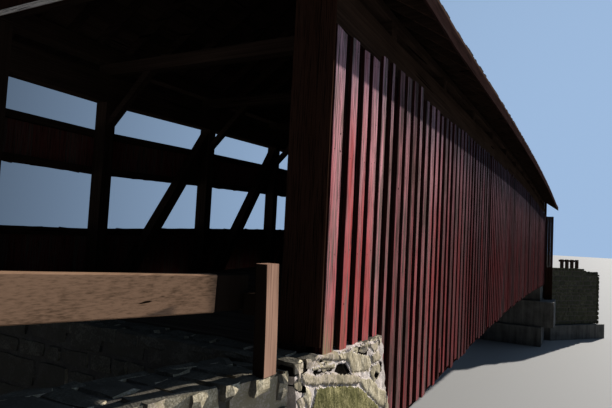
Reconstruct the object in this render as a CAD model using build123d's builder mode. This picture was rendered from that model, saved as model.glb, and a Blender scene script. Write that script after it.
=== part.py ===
"""A one-lane covered timber bridge: two cambered trusses with sloping braces, boarded walls, a gabled roof.

The bridge runs along Y with its near portal at -Y. X is across it, and +X is the river side.
Z is up. The origin is under the middle of the bridge, at the foot of its abutments.
"""

from build123d import *
from math import cos, hypot, radians, sin, tan
import os

os.makedirs("parts", exist_ok=True)

# Truss bays, in millimetres
panel_length = 2730  # from one truss post to the next
panel_count = 10  # an even number, so that the braces meet at a middle post
shelter_length = 2000  # the level end bay with no brace, from a portal to the first post
camber_rise = 260  # how much higher the middle of the bridge stands than its ends

# Heights at the portals, measured from the roadway
road_level = 4750  # roadway above the foot of the abutments
siding_drop = 1310  # how far the wall boards hang below the roadway
siding_height = 2950  # top of the river wall's boards
sill_height = 900  # top of the lower boards of the open wall
band_bottom = 1825  # the band of boards between the two open strips
band_top = 2575
chord_height = 3035  # underside of the top chord
header_height = 3720  # underside of the portal's header
eave_height = 3515  # top of the roof at its lower edge
knee_foot_height = 2600

# Widths across the bridge
outside_width = 5500  # over the wall strips
strip_allowance = 50  # room for the strips that are nailed over the boards
board_thickness = 25
nailer_thickness = 75
nailer_depth = 120
eave_overhang = 626
gable_overhang = 465

# Timbers
truss_thickness = 250  # chords and posts, across the bridge
brace_thickness = 200
post_width = 200
brace_depth = 200
brace_foot_gap = 10  # from a brace's foot to the post behind it
brace_head_drop = 60  # from the top chord to where the brace's upper edge meets the next post
bottom_chord_depth = 400
top_chord_depth = 450
tie_depth = 200
tie_width = 200
knee_thickness = 120
knee_foot_length = 150
knee_run = 750
portal_post_width = 200
lintel_depth = 200
lintel_thickness = 150
lintel_lift = 55  # above the underside of the wall plates
board_joint = 3  # open joint between two lengths of one member

# Floor
deck_thickness = 75
deck_clearance = 20
joist_depth = 175
joist_width = 75
joist_count = 7
floor_beam_depth = 300
floor_beam_width = 200
beam_to_post_gap = 40

# Roof
roof_pitch = 34
roof_thickness = 60
rafter_depth = 150
rafter_width = 50
rafters_per_panel = 4
shelter_rafters = 4
fascia_thickness = 25
fascia_depth = 178
ridge_cap_width = 220
ridge_cap_thickness = 30

# Portal boarding
jamb_width = 418
header_trim_depth = 75
header_trim_thickness = 22
jamb_foot_gap = 20

# Abutments
backwall_thickness = 480
backwall_gap = 20  # between the backwall and the ends of the timbers
abutment_reach = 1530  # from a portal to the face of its abutment
cheek_projection = 30  # masonry outside the wall strips, at the roadway
cheek_batter = 520  # how much further out the masonry stands at its foot
cheek_clearance = 10
cheek_top_drop = 60
face_batter = 250  # how far the foot of the rubble face stands out
siding_end_drop = 40  # where the boards stop above the near masonry
siding_face_gap = 50  # between the long boards and the battered face
seat_step_drop = 2200  # top of the far abutment's upper step
seat_step_reach = 600
seat_step_projection = 350
base_step_drop = 3660  # top of the far abutment's lower step
base_step_reach = -20
base_step_projection = 700
corner_panel_width = 455
corner_panel_height = 2865
corner_panel_inset = 100

# Wings
wing_length = 3700
wing_thickness = 700
wing_projection = 25  # outside the wall strips, where a wing starts
near_wing_drop = 50  # top of the near wings below the roadway
far_wing_drop = 300
far_wing_slope_start = 2300  # from here on the top of a far wing falls
far_wing_fall = 350
inner_flare = 14.5  # degrees
outer_flare = 39
footing_margin = 250
footing_height = 900

# Guide rails
guide_post_width = 140
guide_post_breadth = 170
guide_post_projection = 15  # outside the wall strips
guide_post_chamfer = 15
guide_rail_thickness = 100
near_post_start = 800  # from the portal to the middle of the first post
near_post_height = 830
near_post_bay = 2750
near_rail_rise = 180  # the near rails climb away from the bridge
near_rail_drop = 75  # from the top of a post to the top of its rail
near_rail_depth = 260
far_post_start = 1650
far_post_height = 550
far_post_bay = 440
far_post_count = 4
far_rail_drop = 30
far_rail_depth = 120

# Places worked out from the sizes above
bridge_length = panel_count * panel_length + 2 * shelter_length
portal_y = bridge_length / 2
half_width = outside_width / 2
board_outer = half_width - strip_allowance
nailer_outer = board_outer - board_thickness
truss_outer = nailer_outer - nailer_thickness
truss_inner = truss_outer - truss_thickness
truss_middle = (truss_outer + truss_inner) / 2
beam_top = road_level - deck_thickness - joist_depth
chord_top = beam_top - floor_beam_depth
chord_bottom = chord_top - bottom_chord_depth
top_chord_bottom = road_level + chord_height
tie_bottom = top_chord_bottom + top_chord_depth
plate_bottom = tie_bottom + tie_depth
first_post_y = portal_y - shelter_length
post_rows = [index * panel_length - first_post_y for index in range(panel_count + 1)]
eave_x = half_width + eave_overhang
eave_z = road_level + eave_height
pitch_rise = tan(radians(roof_pitch))
roof_drop = roof_thickness / cos(radians(roof_pitch))
rafter_drop = rafter_depth / cos(radians(roof_pitch))
roof_end_y = portal_y + gable_overhang
near_face_y = abutment_reach - portal_y
long_start = near_face_y + siding_face_gap
sides = {"right": 1, "left": -1}
ends = {"near": -1, "far": 1}


def write(piece, name):
    """Label one finished piece and write it as its own STEP file."""
    piece.part.label = name
    export_step(piece.part, f"parts/{name}.step")


def row_rise(index):
    """How much a post row stands above the portals, on a parabola."""
    share = 2 * index / panel_count - 1
    return camber_rise * (1 - share * share)


def camber(y):
    """Rise of the bridge at y: straight from one post row to the next, and level past the last ones."""
    place = (y + first_post_y) / panel_length
    if place <= 0 or place >= panel_count:
        return 0
    index = int(place)
    return row_rise(index) + (place - index) * (row_rise(index + 1) - row_rise(index))


def cambered(outlines, spans, joint=0):
    """Add members with these outlines across the bridge, over these spans of it.

    They follow the camber, so they bend at the post rows, where they may also have an open joint.
    """
    lengths = []
    for start, end in spans:
        cuts = [start] + [y for y in post_rows if start < y < end] + [end]
        for index in range(len(cuts) - 1):
            low = cuts[index] + (joint / 2 if index > 0 else 0)
            high = cuts[index + 1] - (joint / 2 if index < len(cuts) - 2 else 0)
            rise = camber(high) - camber(low)
            with BuildSketch(Plane.XZ.offset(-low), mode=Mode.PRIVATE) as section:
                for outline in outlines:
                    with BuildLine():
                        Polyline(*[(x, z + camber(low)) for x, z in outline], close=True)
                    make_face()
            along = (0, high - low, rise)
            lengths += extrude(section.sketch, hypot(high - low, rise), along, mode=Mode.PRIVATE).solids()
    add(lengths)


def rectangle(x_one, x_two, low, high):
    """Corners of an upright rectangle across the bridge."""
    return [(x_one, low), (x_two, low), (x_two, high), (x_one, high)]


def around(rows, width):
    """Spans of members of one width, with their middles at the rows."""
    return [(y - width / 2, y + width / 2) for y in rows]


def roof_top(x):
    """Height of the roof's upper surface at a distance x from the ridge line, at a portal."""
    return eave_z + (eave_x - x) * pitch_rise


def roof_underside(x):
    return roof_top(x) - roof_drop


def rafter_underside(x):
    return roof_underside(x) - rafter_drop


# Bottom and top chords, in lengths that butt together at the post rows
chord_end_y = portal_y - portal_post_width
for side_name, side in sides.items():
    with BuildPart() as bottom_chord:
        outline = rectangle(side * truss_inner, side * truss_outer, chord_bottom, chord_top)
        cambered([outline], [(-portal_y, portal_y)], board_joint)
    write(bottom_chord, f"bottom_chord_{side_name}")

    with BuildPart() as top_chord:
        outline = rectangle(side * truss_inner, side * truss_outer, top_chord_bottom, tie_bottom)
        cambered([outline], [(-chord_end_y, chord_end_y)], board_joint)
    write(top_chord, f"top_chord_{side_name}")

# Truss posts stand on the bottom chord and carry the top chord
for side_name, side in sides.items():
    with BuildPart() as truss_posts:
        outline = rectangle(side * truss_inner, side * truss_outer, chord_top, top_chord_bottom)
        cambered([outline], around(post_rows, post_width))
    write(truss_posts, f"truss_posts_{side_name}")

# Braces lean from the foot of each post up to the head of the next post towards midspan
brace_start = post_width / 2 + brace_foot_gap
brace_end = panel_length - post_width / 2
brace_head = top_chord_bottom - brace_head_drop
brace_slope = (brace_head - chord_top) / (brace_end - brace_start)
brace_across = brace_depth * hypot(1, 1 / brace_slope)
brace_upright = brace_depth * hypot(1, brace_slope)
for side_name, side in sides.items():
    with BuildPart() as truss_braces:
        for index in range(panel_count):
            toward = 1 if index < panel_count / 2 else -1
            foot_row = post_rows[index] if toward > 0 else post_rows[index + 1]
            outline = [
                (foot_row + toward * brace_start, chord_top),
                (foot_row + toward * (brace_start + brace_across), chord_top),
                (foot_row + toward * brace_end, brace_head - brace_upright),
                (foot_row + toward * brace_end, brace_head),
            ]
            with BuildSketch(Plane.YZ.offset(side * truss_middle - brace_thickness / 2)):
                with BuildLine():
                    Polyline(*[(y, z + camber(y)) for y, z in outline], close=True)
                make_face()
        extrude(amount=brace_thickness)
    write(truss_braces, f"truss_braces_{side_name}")

# Portal posts close the ends of both trusses and carry the plates
with BuildPart() as portal_posts:
    with BuildSketch(Plane.XY.offset(chord_top)):
        for side in sides.values():
            with Locations(
                (side * truss_middle, portal_y - portal_post_width / 2),
                (side * truss_middle, portal_post_width / 2 - portal_y),
            ):
                Rectangle(truss_thickness, portal_post_width)
    extrude(amount=plate_bottom - chord_top)
write(portal_posts, "portal_posts")

# Tie beams cross the bridge over every truss post
with BuildPart() as tie_beams:
    outline = rectangle(-truss_outer, truss_outer, tie_bottom, plate_bottom)
    cambered([outline], around(post_rows, tie_width))
write(tie_beams, "tie_beams")

# Knee braces stiffen each tie beam against its two posts
knee_foot_z = road_level + knee_foot_height
knee_slope = (tie_bottom - knee_foot_z - knee_foot_length) / knee_run
knee_reach = (tie_bottom - knee_foot_z) / knee_slope
with BuildPart() as knee_braces:
    outlines = []
    for side in sides.values():
        outlines += [
            [
                (side * truss_inner, knee_foot_z),
                (side * truss_inner, knee_foot_z + knee_foot_length),
                (side * (truss_inner - knee_run), tie_bottom),
                (side * (truss_inner - knee_reach), tie_bottom),
            ]
        ]
    cambered(outlines, around(post_rows, knee_thickness))
write(knee_braces, "knee_braces")

# The wall plates lie on the tie beams, with their tops bevelled to the rafters
for side_name, side in sides.items():
    with BuildPart() as wall_plate:
        outline = [
            (side * truss_inner, plate_bottom),
            (side * truss_outer, plate_bottom),
            (side * truss_outer, rafter_underside(truss_outer)),
            (side * truss_inner, rafter_underside(truss_inner)),
        ]
        cambered([outline], [(-portal_y, portal_y)], board_joint)
    write(wall_plate, f"wall_plate_{side_name}")

# Portal lintels span between the plates and carry the gable boards
with BuildPart() as portal_lintels:
    with BuildSketch(Plane.XY.offset(plate_bottom + lintel_lift)):
        with Locations(
            (0, portal_y - lintel_thickness / 2),
            (0, lintel_thickness / 2 - portal_y),
        ):
            Rectangle(2 * truss_inner, lintel_thickness)
    extrude(amount=lintel_depth)
write(portal_lintels, "portal_lintels")

# Floor beams lie on the bottom chords, one beside each post and one in the middle of each bay
beam_offset = post_width / 2 + beam_to_post_gap + floor_beam_width / 2
beam_rows = []
for y in post_rows:
    if y < 0:
        beam_rows += [y - beam_offset, y + panel_length / 2]
    else:
        beam_rows += [y + beam_offset]
        if y > 0:
            beam_rows += [y - panel_length / 2]
portal_beam_y = portal_y - portal_post_width - beam_to_post_gap - floor_beam_width / 2
shelter_beam_y = (portal_beam_y + first_post_y + beam_offset) / 2
for end in ends.values():
    beam_rows += [end * portal_beam_y, end * shelter_beam_y]
with BuildPart() as floor_beams:
    outline = rectangle(-truss_outer, truss_outer, chord_top, beam_top)
    cambered([outline], around(beam_rows, floor_beam_width))
write(floor_beams, "floor_beams")

# Joists run the length of the bridge over the floor beams, and the deck lies on them
deck_side = truss_inner - deck_clearance
joist_spacing = (2 * deck_side - joist_width) / (joist_count - 1)
with BuildPart() as joists:
    outlines = []
    for index in range(joist_count):
        joist_x = index * joist_spacing - deck_side
        outlines += [rectangle(joist_x, joist_x + joist_width, beam_top, road_level - deck_thickness)]
    cambered(outlines, [(-portal_y, portal_y)], board_joint)
write(joists, "joists")

with BuildPart() as deck:
    outline = rectangle(-deck_side, deck_side, road_level - deck_thickness, road_level)
    cambered([outline], [(-portal_y, portal_y)], board_joint)
write(deck, "deck")

# Rafters lean on the plates and meet at the ridge, with one loose pair at each roof end
rafter_step = panel_length / rafters_per_panel
shelter_step = (shelter_length - rafter_width) / (shelter_rafters - 0.5)
rafter_rows = [(index + 0.5) * rafter_step - first_post_y for index in range(rafters_per_panel * panel_count)]
for end in ends.values():
    rafter_rows += [end * (first_post_y + (index + 0.5) * shelter_step) for index in range(shelter_rafters)]
    rafter_rows += [end * (roof_end_y - rafter_width / 2)]
rafter_tail_x = eave_x - fascia_thickness
for side_name, side in sides.items():
    with BuildPart() as rafters:
        outline = [
            (0, roof_underside(0)),
            (side * rafter_tail_x, roof_underside(rafter_tail_x)),
            (side * rafter_tail_x, rafter_underside(rafter_tail_x)),
            (0, rafter_underside(0)),
        ]
        cambered([outline], around(rafter_rows, rafter_width))
    write(rafters, f"rafters_{side_name}")

    with BuildPart() as roof:
        outline = [
            (0, roof_top(0)),
            (side * eave_x, roof_top(eave_x)),
            (side * eave_x, roof_underside(eave_x)),
            (0, roof_underside(0)),
        ]
        cambered([outline], [(-roof_end_y, roof_end_y)], board_joint)
    write(roof, f"roof_{side_name}")

    with BuildPart() as fascia:
        outline = [
            (side * rafter_tail_x, roof_underside(rafter_tail_x)),
            (side * eave_x, roof_underside(eave_x)),
            (side * eave_x, roof_underside(eave_x) - fascia_depth),
            (side * rafter_tail_x, roof_underside(eave_x) - fascia_depth),
        ]
        cambered([outline], [(-roof_end_y, roof_end_y)], board_joint)
    write(fascia, f"fascia_{side_name}")

# Two ridge boards meet over the joint of the slopes
with BuildPart() as ridge_cap:
    outlines = []
    for side in sides.values():
        outlines += [
            [
                (side * board_joint / 2, roof_top(board_joint / 2)),
                (side * ridge_cap_width, roof_top(ridge_cap_width)),
                (side * ridge_cap_width, roof_top(ridge_cap_width) + ridge_cap_thickness),
                (side * board_joint / 2, roof_top(board_joint / 2) + ridge_cap_thickness),
            ]
        ]
    cambered(outlines, [(-roof_end_y, roof_end_y)], board_joint)
write(ridge_cap, "ridge_cap")

# Nailers run along the outside of the trusses and carry the wall boards
nailer_tops = {
    "right": [road_level + sill_height, road_level + band_bottom, road_level + siding_height],
    "left": [road_level + sill_height, road_level + band_bottom + nailer_depth, road_level + band_top],
}
low_nailer_top = (chord_bottom + chord_top) / 2
for side_name, side in sides.items():
    across = (side * truss_outer, side * nailer_outer)
    with BuildPart() as nailers:
        low_nailer = rectangle(*across, low_nailer_top - nailer_depth, low_nailer_top)
        cambered([low_nailer], [(long_start, portal_y)], board_joint)
        outlines = [rectangle(*across, top - nailer_depth, top) for top in nailer_tops[side_name]]
        cambered(outlines, [(-portal_y, portal_y)], board_joint)
    write(nailers, f"nailers_{side_name}")

# The wall boards stop above the near masonry and hang past the floor everywhere else
for name, side, top in (
    ("siding_right", 1, road_level + siding_height),
    ("siding_left_lower", -1, road_level + sill_height),
):
    across = (side * nailer_outer, side * board_outer)
    with BuildPart() as siding:
        short_boards = rectangle(*across, road_level - siding_end_drop, top)
        long_boards = rectangle(*across, road_level - siding_drop, top)
        cambered([short_boards], [(-portal_y, long_start - board_joint)])
        cambered([long_boards], [(long_start, portal_y)], board_joint)
    write(siding, name)

with BuildPart() as siding_left_band:
    outline = rectangle(-nailer_outer, -board_outer, road_level + band_bottom, road_level + band_top)
    cambered([outline], [(-portal_y, portal_y)], board_joint)
write(siding_left_band, "siding_left_band")


def under_roof():
    """Keep only what lies below the roof of the current sketch across the bridge."""
    with BuildLine() as edges:
        Polyline(
            (-eave_x, 0),
            (eave_x, 0),
            (eave_x, roof_underside(eave_x)),
            (0, roof_underside(0)),
            (-eave_x, roof_underside(eave_x)),
            close=True,
        )
    make_face(edges.edges(), mode=Mode.INTERSECT)


# Each portal has a boarded jamb on each side, a boarded gable and a pale trim strip under it
for end_name, end in ends.items():
    front = end * portal_y - (board_thickness if end < 0 else 0)
    board_plane = Plane.XZ.offset(-front - board_thickness)
    with BuildPart() as jambs:
        with BuildSketch(board_plane):
            with Locations(
                (half_width - jamb_width / 2, road_level + jamb_foot_gap),
                (jamb_width / 2 - half_width, road_level + jamb_foot_gap),
            ):
                Rectangle(
                    jamb_width,
                    header_height - jamb_foot_gap,
                    align=(Align.CENTER, Align.MIN),
                )
            under_roof()
        extrude(amount=board_thickness)
    write(jambs, f"{end_name}_jambs")

    with BuildPart() as gable:
        with BuildSketch(board_plane):
            with Locations((0, road_level + header_height)):
                Rectangle(outside_width, roof_top(0), align=(Align.CENTER, Align.MIN))
            under_roof()
        extrude(amount=board_thickness)
    write(gable, f"{end_name}_gable")

    with BuildPart() as header_trim:
        trim_y = end * (portal_y + board_thickness + header_trim_thickness / 2)
        with Locations((0, trim_y, road_level + header_height)):
            Box(
                2 * (half_width - jamb_width),
                header_trim_thickness,
                header_trim_depth,
                align=(Align.CENTER, Align.CENTER, Align.MIN),
            )
    write(header_trim, f"{end_name}_header_trim")

# The near abutment is rubble: three battered faces, a seat for the chords, a backwall and two cheeks
backwall_front_y = -portal_y - backwall_gap
backwall_back_y = backwall_front_y - backwall_thickness
seat_width = 2 * (truss_outer + cheek_clearance)
cheek_top_x = half_width + cheek_projection
cheek_foot_x = cheek_top_x + cheek_batter
with BuildPart() as near_abutment:
    with BuildSketch(Plane.YZ.offset(-cheek_foot_x)):
        with BuildLine():
            Polyline(
                (backwall_back_y, 0),
                (near_face_y + face_batter, 0),
                (near_face_y, chord_bottom),
                (near_face_y, road_level - cheek_top_drop),
                (backwall_front_y, road_level - cheek_top_drop),
                (backwall_front_y, road_level),
                (backwall_back_y, road_level),
                close=True,
            )
        make_face()
    extrude(amount=2 * cheek_foot_x)
    with BuildSketch(Plane.XZ.offset(-backwall_back_y - 2 * abutment_reach - backwall_thickness)):
        with BuildLine():
            Polyline(
                (-cheek_foot_x, 0),
                (cheek_foot_x, 0),
                (cheek_top_x, road_level),
                (-cheek_top_x, road_level),
                close=True,
            )
        make_face()
    extrude(amount=2 * abutment_reach + backwall_thickness, mode=Mode.INTERSECT)
    with BuildSketch(Plane.XY.offset(chord_bottom)):
        with Locations((0, backwall_front_y)):
            Rectangle(seat_width, 2 * abutment_reach, align=(Align.CENTER, Align.MIN))
    extrude(amount=road_level, mode=Mode.SUBTRACT)
write(near_abutment, "near_abutment")

# The far abutment is concrete in steps, each further out than the one above
far_face_y = portal_y - abutment_reach
far_steps = (
    (0, base_step_drop, base_step_projection, base_step_reach),
    (base_step_drop, seat_step_drop, seat_step_projection, seat_step_reach),
)
with BuildPart() as far_abutment:
    for lower_drop, drop, projection, reach in far_steps:
        foot_z = road_level - lower_drop if lower_drop else 0
        with BuildSketch(Plane.XY.offset(foot_z)):
            with Locations((0, far_face_y - projection)):
                Rectangle(
                    2 * (half_width + reach),
                    -backwall_back_y - far_face_y + projection,
                    align=(Align.CENTER, Align.MIN),
                )
        extrude(amount=road_level - drop - foot_z)
    with BuildSketch(Plane.YZ.offset(-truss_outer)):
        with BuildLine():
            Polyline(
                (far_face_y, road_level - seat_step_drop),
                (far_face_y, chord_bottom),
                (-backwall_front_y, chord_bottom),
                (-backwall_front_y, road_level),
                (-backwall_back_y, road_level),
                (-backwall_back_y, road_level - seat_step_drop),
                close=True,
            )
        make_face()
    extrude(amount=2 * truss_outer)
write(far_abutment, "far_abutment")

# Boarded panels close the corners between the far abutment's step and the walls
with BuildPart() as far_corner_panels:
    panel_foot_z = road_level - seat_step_drop
    panel_plane = Plane.XZ.offset(corner_panel_inset - portal_y)
    with BuildSketch(panel_plane):
        for side in sides.values():
            with Locations((side * (board_outer + corner_panel_width / 2), panel_foot_z)):
                Rectangle(
                    corner_panel_width,
                    seat_step_drop + corner_panel_height,
                    align=(Align.CENTER, Align.MIN),
                )
    extrude(amount=board_thickness)
write(far_corner_panels, "far_corner_panels")

# Wing walls run back from each abutment and carry the guide rails
wing_start_y = -backwall_back_y
wing_x = half_width + wing_projection
flares = {
    ("near", "right"): -inner_flare,
    ("near", "left"): -outer_flare,
    ("far", "right"): outer_flare,
    ("far", "left"): inner_flare,
}


def wing_outline(side, end, lean, outer, inner):
    """Plan of a wall along a wing, from outer to inner, both measured across from its outer edge."""
    shift = tan(radians(lean)) * wing_length
    edges = [side * (wing_x - across / cos(radians(lean))) for across in (outer, inner)]
    Polyline(
        (edges[0], end * wing_start_y),
        (edges[1], end * wing_start_y),
        (edges[1] + shift, end * (wing_start_y + wing_length)),
        (edges[0] + shift, end * (wing_start_y + wing_length)),
        close=True,
    )


for (end_name, side_name), lean in flares.items():
    end = ends[end_name]
    foot_z = footing_height if end_name == "far" else 0
    top_z = road_level - (far_wing_drop if end_name == "far" else near_wing_drop)
    with BuildPart() as wing:
        with BuildSketch(Plane.XY.offset(foot_z)):
            with BuildLine():
                wing_outline(sides[side_name], end, lean, 0, wing_thickness)
            make_face()
        extrude(amount=top_z - foot_z)
        if end_name == "far":
            with BuildSketch(Plane.YZ.offset(-3 * outside_width)):
                with BuildLine():
                    Polyline(
                        (wing_start_y + far_wing_slope_start, top_z),
                        (wing_start_y + wing_length, top_z - far_wing_fall),
                        (wing_start_y + wing_length, top_z),
                        close=True,
                    )
                make_face()
            extrude(amount=6 * outside_width, mode=Mode.SUBTRACT)
    write(wing, f"{end_name}_wing_{side_name}")

# Concrete footings carry the far wings
with BuildPart() as far_footings:
    for side_name, side in sides.items():
        lean = flares["far", side_name]
        with BuildSketch(Plane.XY):
            with BuildLine():
                wing_outline(side, 1, lean, -footing_margin, wing_thickness + footing_margin)
            make_face()
        extrude(amount=footing_height)
write(far_footings, "far_footings")


def guide_line(end_name, side_name, start, bay, count):
    """Plan places of the guide posts on a wing, and the level direction of their line."""
    lean = radians(flares[end_name, side_name])
    end = ends[end_name]
    ahead = (sin(lean), end * cos(lean))
    across = guide_post_width / 2 + wing_projection - guide_post_projection
    first_x = sides[side_name] * (wing_x - across / cos(lean)) + tan(lean) * (start - wing_start_y + portal_y)
    first_y = end * (portal_y + start)
    places = [(first_x + index * bay * ahead[0], first_y + index * bay * ahead[1]) for index in range(count)]
    return places, ahead


# Guide posts stand on the wings, with a rail along the roadway side of each row
guides = {
    "near": (near_post_start, near_post_bay, 2, near_post_height, near_rail_rise, near_rail_drop, near_rail_depth),
    "far": (far_post_start, far_post_bay, far_post_count, far_post_height, 0, far_rail_drop, far_rail_depth),
}
for end_name, (start, bay, count, height, climb, rail_drop, rail_depth) in guides.items():
    end = ends[end_name]
    foot_z = road_level - (far_wing_drop if end_name == "far" else near_wing_drop)
    with BuildPart() as guide_posts:
        for side_name in sides:
            places, ahead = guide_line(end_name, side_name, start, bay, count)
            turn = -end * flares[end_name, side_name]
            for index, place in enumerate(places):
                with BuildSketch(Plane.XY.offset(foot_z)) as post_plan:
                    with Locations(place):
                        Rectangle(guide_post_width, guide_post_breadth, rotation=turn)
                extrude(post_plan.sketch, amount=height + index * climb)
        top_faces = [solid.faces().sort_by(Axis.Z)[-1] for solid in guide_posts.solids()]
        chamfer([edge for face in top_faces for edge in face.edges()], length=guide_post_chamfer)
    write(guide_posts, f"{end_name}_guide_posts")

    rail_length = (count - 1) * bay + guide_post_breadth
    rail_rise = climb * rail_length / bay
    rail_aside = (guide_post_width + guide_rail_thickness) / 2
    with BuildPart() as guide_rails:
        for side_name, side in sides.items():
            places, ahead = guide_line(end_name, side_name, start, bay, count)
            inward = (-side * end * ahead[1], side * end * ahead[0])
            origin = (
                places[0][0] - ahead[0] * guide_post_breadth / 2 + inward[0] * rail_aside,
                places[0][1] - ahead[1] * guide_post_breadth / 2 + inward[1] * rail_aside,
                foot_z + height - rail_drop - rail_depth / 2,
            )
            with BuildSketch(Plane(origin=origin, x_dir=(*inward, 0), z_dir=(*ahead, 0))) as rail_section:
                Rectangle(guide_rail_thickness, rail_depth)
            along = (ahead[0] * rail_length, ahead[1] * rail_length, rail_rise)
            extrude(rail_section.sketch, hypot(rail_length, rail_rise), along)
    write(guide_rails, f"{end_name}_guide_rails")
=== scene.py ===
# %% [markdown]
# # A covered timber bridge
# The solids of the bridge come in as a fixed frame: every post, chord, rafter and wall slab is already at
# its real place, in metres. This lesson gives them their finishes, and makes what the frame leaves out:
# the separate boards and strips of the walls, the planks of the deck, the shingles, the stones.
# Y runs along the bridge, X across it and Z up.

# %% Load the frame and keep its box
import math

import bpy
import numpy as np
from mathutils import Matrix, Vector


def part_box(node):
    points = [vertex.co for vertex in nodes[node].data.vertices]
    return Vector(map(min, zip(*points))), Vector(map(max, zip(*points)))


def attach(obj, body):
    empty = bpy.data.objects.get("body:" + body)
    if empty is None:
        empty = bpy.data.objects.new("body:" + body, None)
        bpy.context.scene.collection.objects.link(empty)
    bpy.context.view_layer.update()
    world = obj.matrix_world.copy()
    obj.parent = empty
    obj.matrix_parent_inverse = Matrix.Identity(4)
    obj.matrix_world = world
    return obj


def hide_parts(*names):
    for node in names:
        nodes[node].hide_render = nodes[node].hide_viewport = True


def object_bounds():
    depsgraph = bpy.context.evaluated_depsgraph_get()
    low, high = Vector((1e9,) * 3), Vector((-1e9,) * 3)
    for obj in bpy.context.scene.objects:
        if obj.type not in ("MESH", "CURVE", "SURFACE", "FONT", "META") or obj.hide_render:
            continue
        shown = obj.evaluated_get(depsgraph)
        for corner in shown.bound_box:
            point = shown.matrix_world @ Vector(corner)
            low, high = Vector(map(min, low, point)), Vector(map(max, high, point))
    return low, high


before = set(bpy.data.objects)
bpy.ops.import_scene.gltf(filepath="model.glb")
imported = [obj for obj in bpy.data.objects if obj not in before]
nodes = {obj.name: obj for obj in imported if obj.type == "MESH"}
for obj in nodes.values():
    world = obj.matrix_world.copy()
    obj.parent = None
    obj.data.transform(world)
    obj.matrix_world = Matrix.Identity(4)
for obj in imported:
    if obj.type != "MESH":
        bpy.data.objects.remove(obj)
cad_box = [list(corner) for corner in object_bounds()]
print("nodes", len(nodes), "box", cad_box)

# %% [markdown]
# Everything on the bridge is placed from a few planes: the top of the deck, the fronts of the portals and
# the faces of the walls. They could be typed in again, but then they could drift away from the solids, so
# they are read from the boxes of the frame. The deck's box is as high as the camber and one plank together.

# %% Main planes of the bridge, read from the frame
plank_thickness = 0.075
half_post = 0.1
panel_count = 10
deck_low, deck_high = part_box("deck")
post_low, post_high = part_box("truss_posts_right")
camber_rise = deck_high.z - deck_low.z - plank_thickness
road = deck_high.z - camber_rise
portal = deck_high.y
wall_low, wall_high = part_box("siding_right")
open_low, open_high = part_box("siding_left_lower")
half_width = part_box("near_jambs")[1].x
post_rows = np.linspace(post_low.y + half_post, post_high.y - half_post, panel_count + 1)
row_rises = camber_rise * (1 - (2 * np.arange(panel_count + 1) / panel_count - 1) ** 2)


def camber(y):
    """Rise of the bridge at y, straight from one post row to the next."""
    return np.interp(y, post_rows, row_rises)


print("road", round(road, 3), "portal", round(portal, 3), "half width", round(half_width, 3))

# %% [markdown]
# The photograph was taken from beside the near portal, close to the wall, with a wide lens. A camera could
# be moved about by eye until the picture fits, but this one was solved from the wall's edges and the lines
# of the open wall, so it is set by numbers: where it stands, how far it is turned from the bridge's length,
# its tilt, its roll and its focal length.

# %% Camera
camera_out = 1.977  # outside the boarded wall
camera_back = 4.119  # in front of the near portal
camera_rise = 0.9875  # above the roadway
camera_turn = math.radians(28.034)
camera_tilt = math.radians(3.348)
camera_roll = math.radians(2.949)
focal_pixels = 521.4
frame_pixels = 612
sensor = 36.0

ahead = np.array([
    -math.sin(camera_turn) * math.cos(camera_tilt),
    math.cos(camera_turn) * math.cos(camera_tilt),
    math.sin(camera_tilt),
])
level = np.array([math.cos(camera_turn), math.sin(camera_turn), 0.0])
over = np.cross(level, ahead)
right = math.cos(camera_roll) * level + math.sin(camera_roll) * over
over = np.cross(right, ahead)

camera_data = bpy.data.cameras.new("photo_camera")
camera_data.sensor_width = sensor
camera_data.lens = focal_pixels / frame_pixels * sensor
camera_data.clip_start = 0.05
camera_data.clip_end = 2000
camera = bpy.data.objects.new("photo_camera", camera_data)
bpy.context.collection.objects.link(camera)
turn = Matrix([[right[i], over[i], -ahead[i]] for i in range(3)]).to_4x4()
place = Matrix.Translation((half_width + camera_out, -portal - camera_back, road + camera_rise))
camera.matrix_world = place @ turn
bpy.context.scene.camera = camera
print("lens", round(camera_data.lens, 2))

# %% [markdown]
# Shaders are easier to read as sums than as a web of nodes. A Wire wraps one socket, and arithmetic on it
# adds the Math nodes. Every other node comes from its one method, which takes the node's type, its
# settings, and what goes into its sockets.


# %% Shader maths
def colour(tint):
    """A wire as it is, or three numbers as a socket takes a colour, with its fourth."""
    return tint if isinstance(tint, Wire) else (*tint, 1.0)


class Wire:
    """An output socket of a node tree, with arithmetic."""

    def __init__(self, tree, socket):
        self.tree = tree
        self.socket = socket

    def node(self, kind, settings, sockets, out=0):
        """Adds a node of this type, sets its settings, fills its sockets, returns one output."""
        made = self.tree.nodes.new(kind)
        for key, value in settings.items():
            setattr(made, key, value)
        for key, value in sockets.items():
            if isinstance(value, Wire):
                self.tree.links.new(value.socket, made.inputs[key])
            else:
                made.inputs[key].default_value = value
        return Wire(self.tree, made.outputs[out])

    def maths(self, operation, first, second):
        """One Math node."""
        return self.node("ShaderNodeMath", {"operation": operation}, {0: first, 1: second})

    def __add__(self, other):
        return self.maths("ADD", self, other)

    def __sub__(self, other):
        return self.maths("SUBTRACT", self, other)

    def __rsub__(self, other):
        return self.maths("SUBTRACT", other, self)

    def __mul__(self, other):
        return self.maths("MULTIPLY", self, other)

    __radd__ = __add__
    __rmul__ = __mul__

    def mix(self, first, second, blend="MIX"):
        """A colour between two others, or the first multiplied, with this wire as the factor."""
        settings = {"data_type": "RGBA", "blend_type": blend}
        return self.node("ShaderNodeMix", settings, {0: self, 6: colour(first), 7: colour(second)}, out=2)

    def band(self, low, high):
        """Rises smoothly from 0 at low to 1 at high."""
        return self.node(
            "ShaderNodeMapRange",
            {"interpolation_type": "SMOOTHSTEP"},
            {"Value": self, "From Min": low, "From Max": high},
        )


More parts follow.
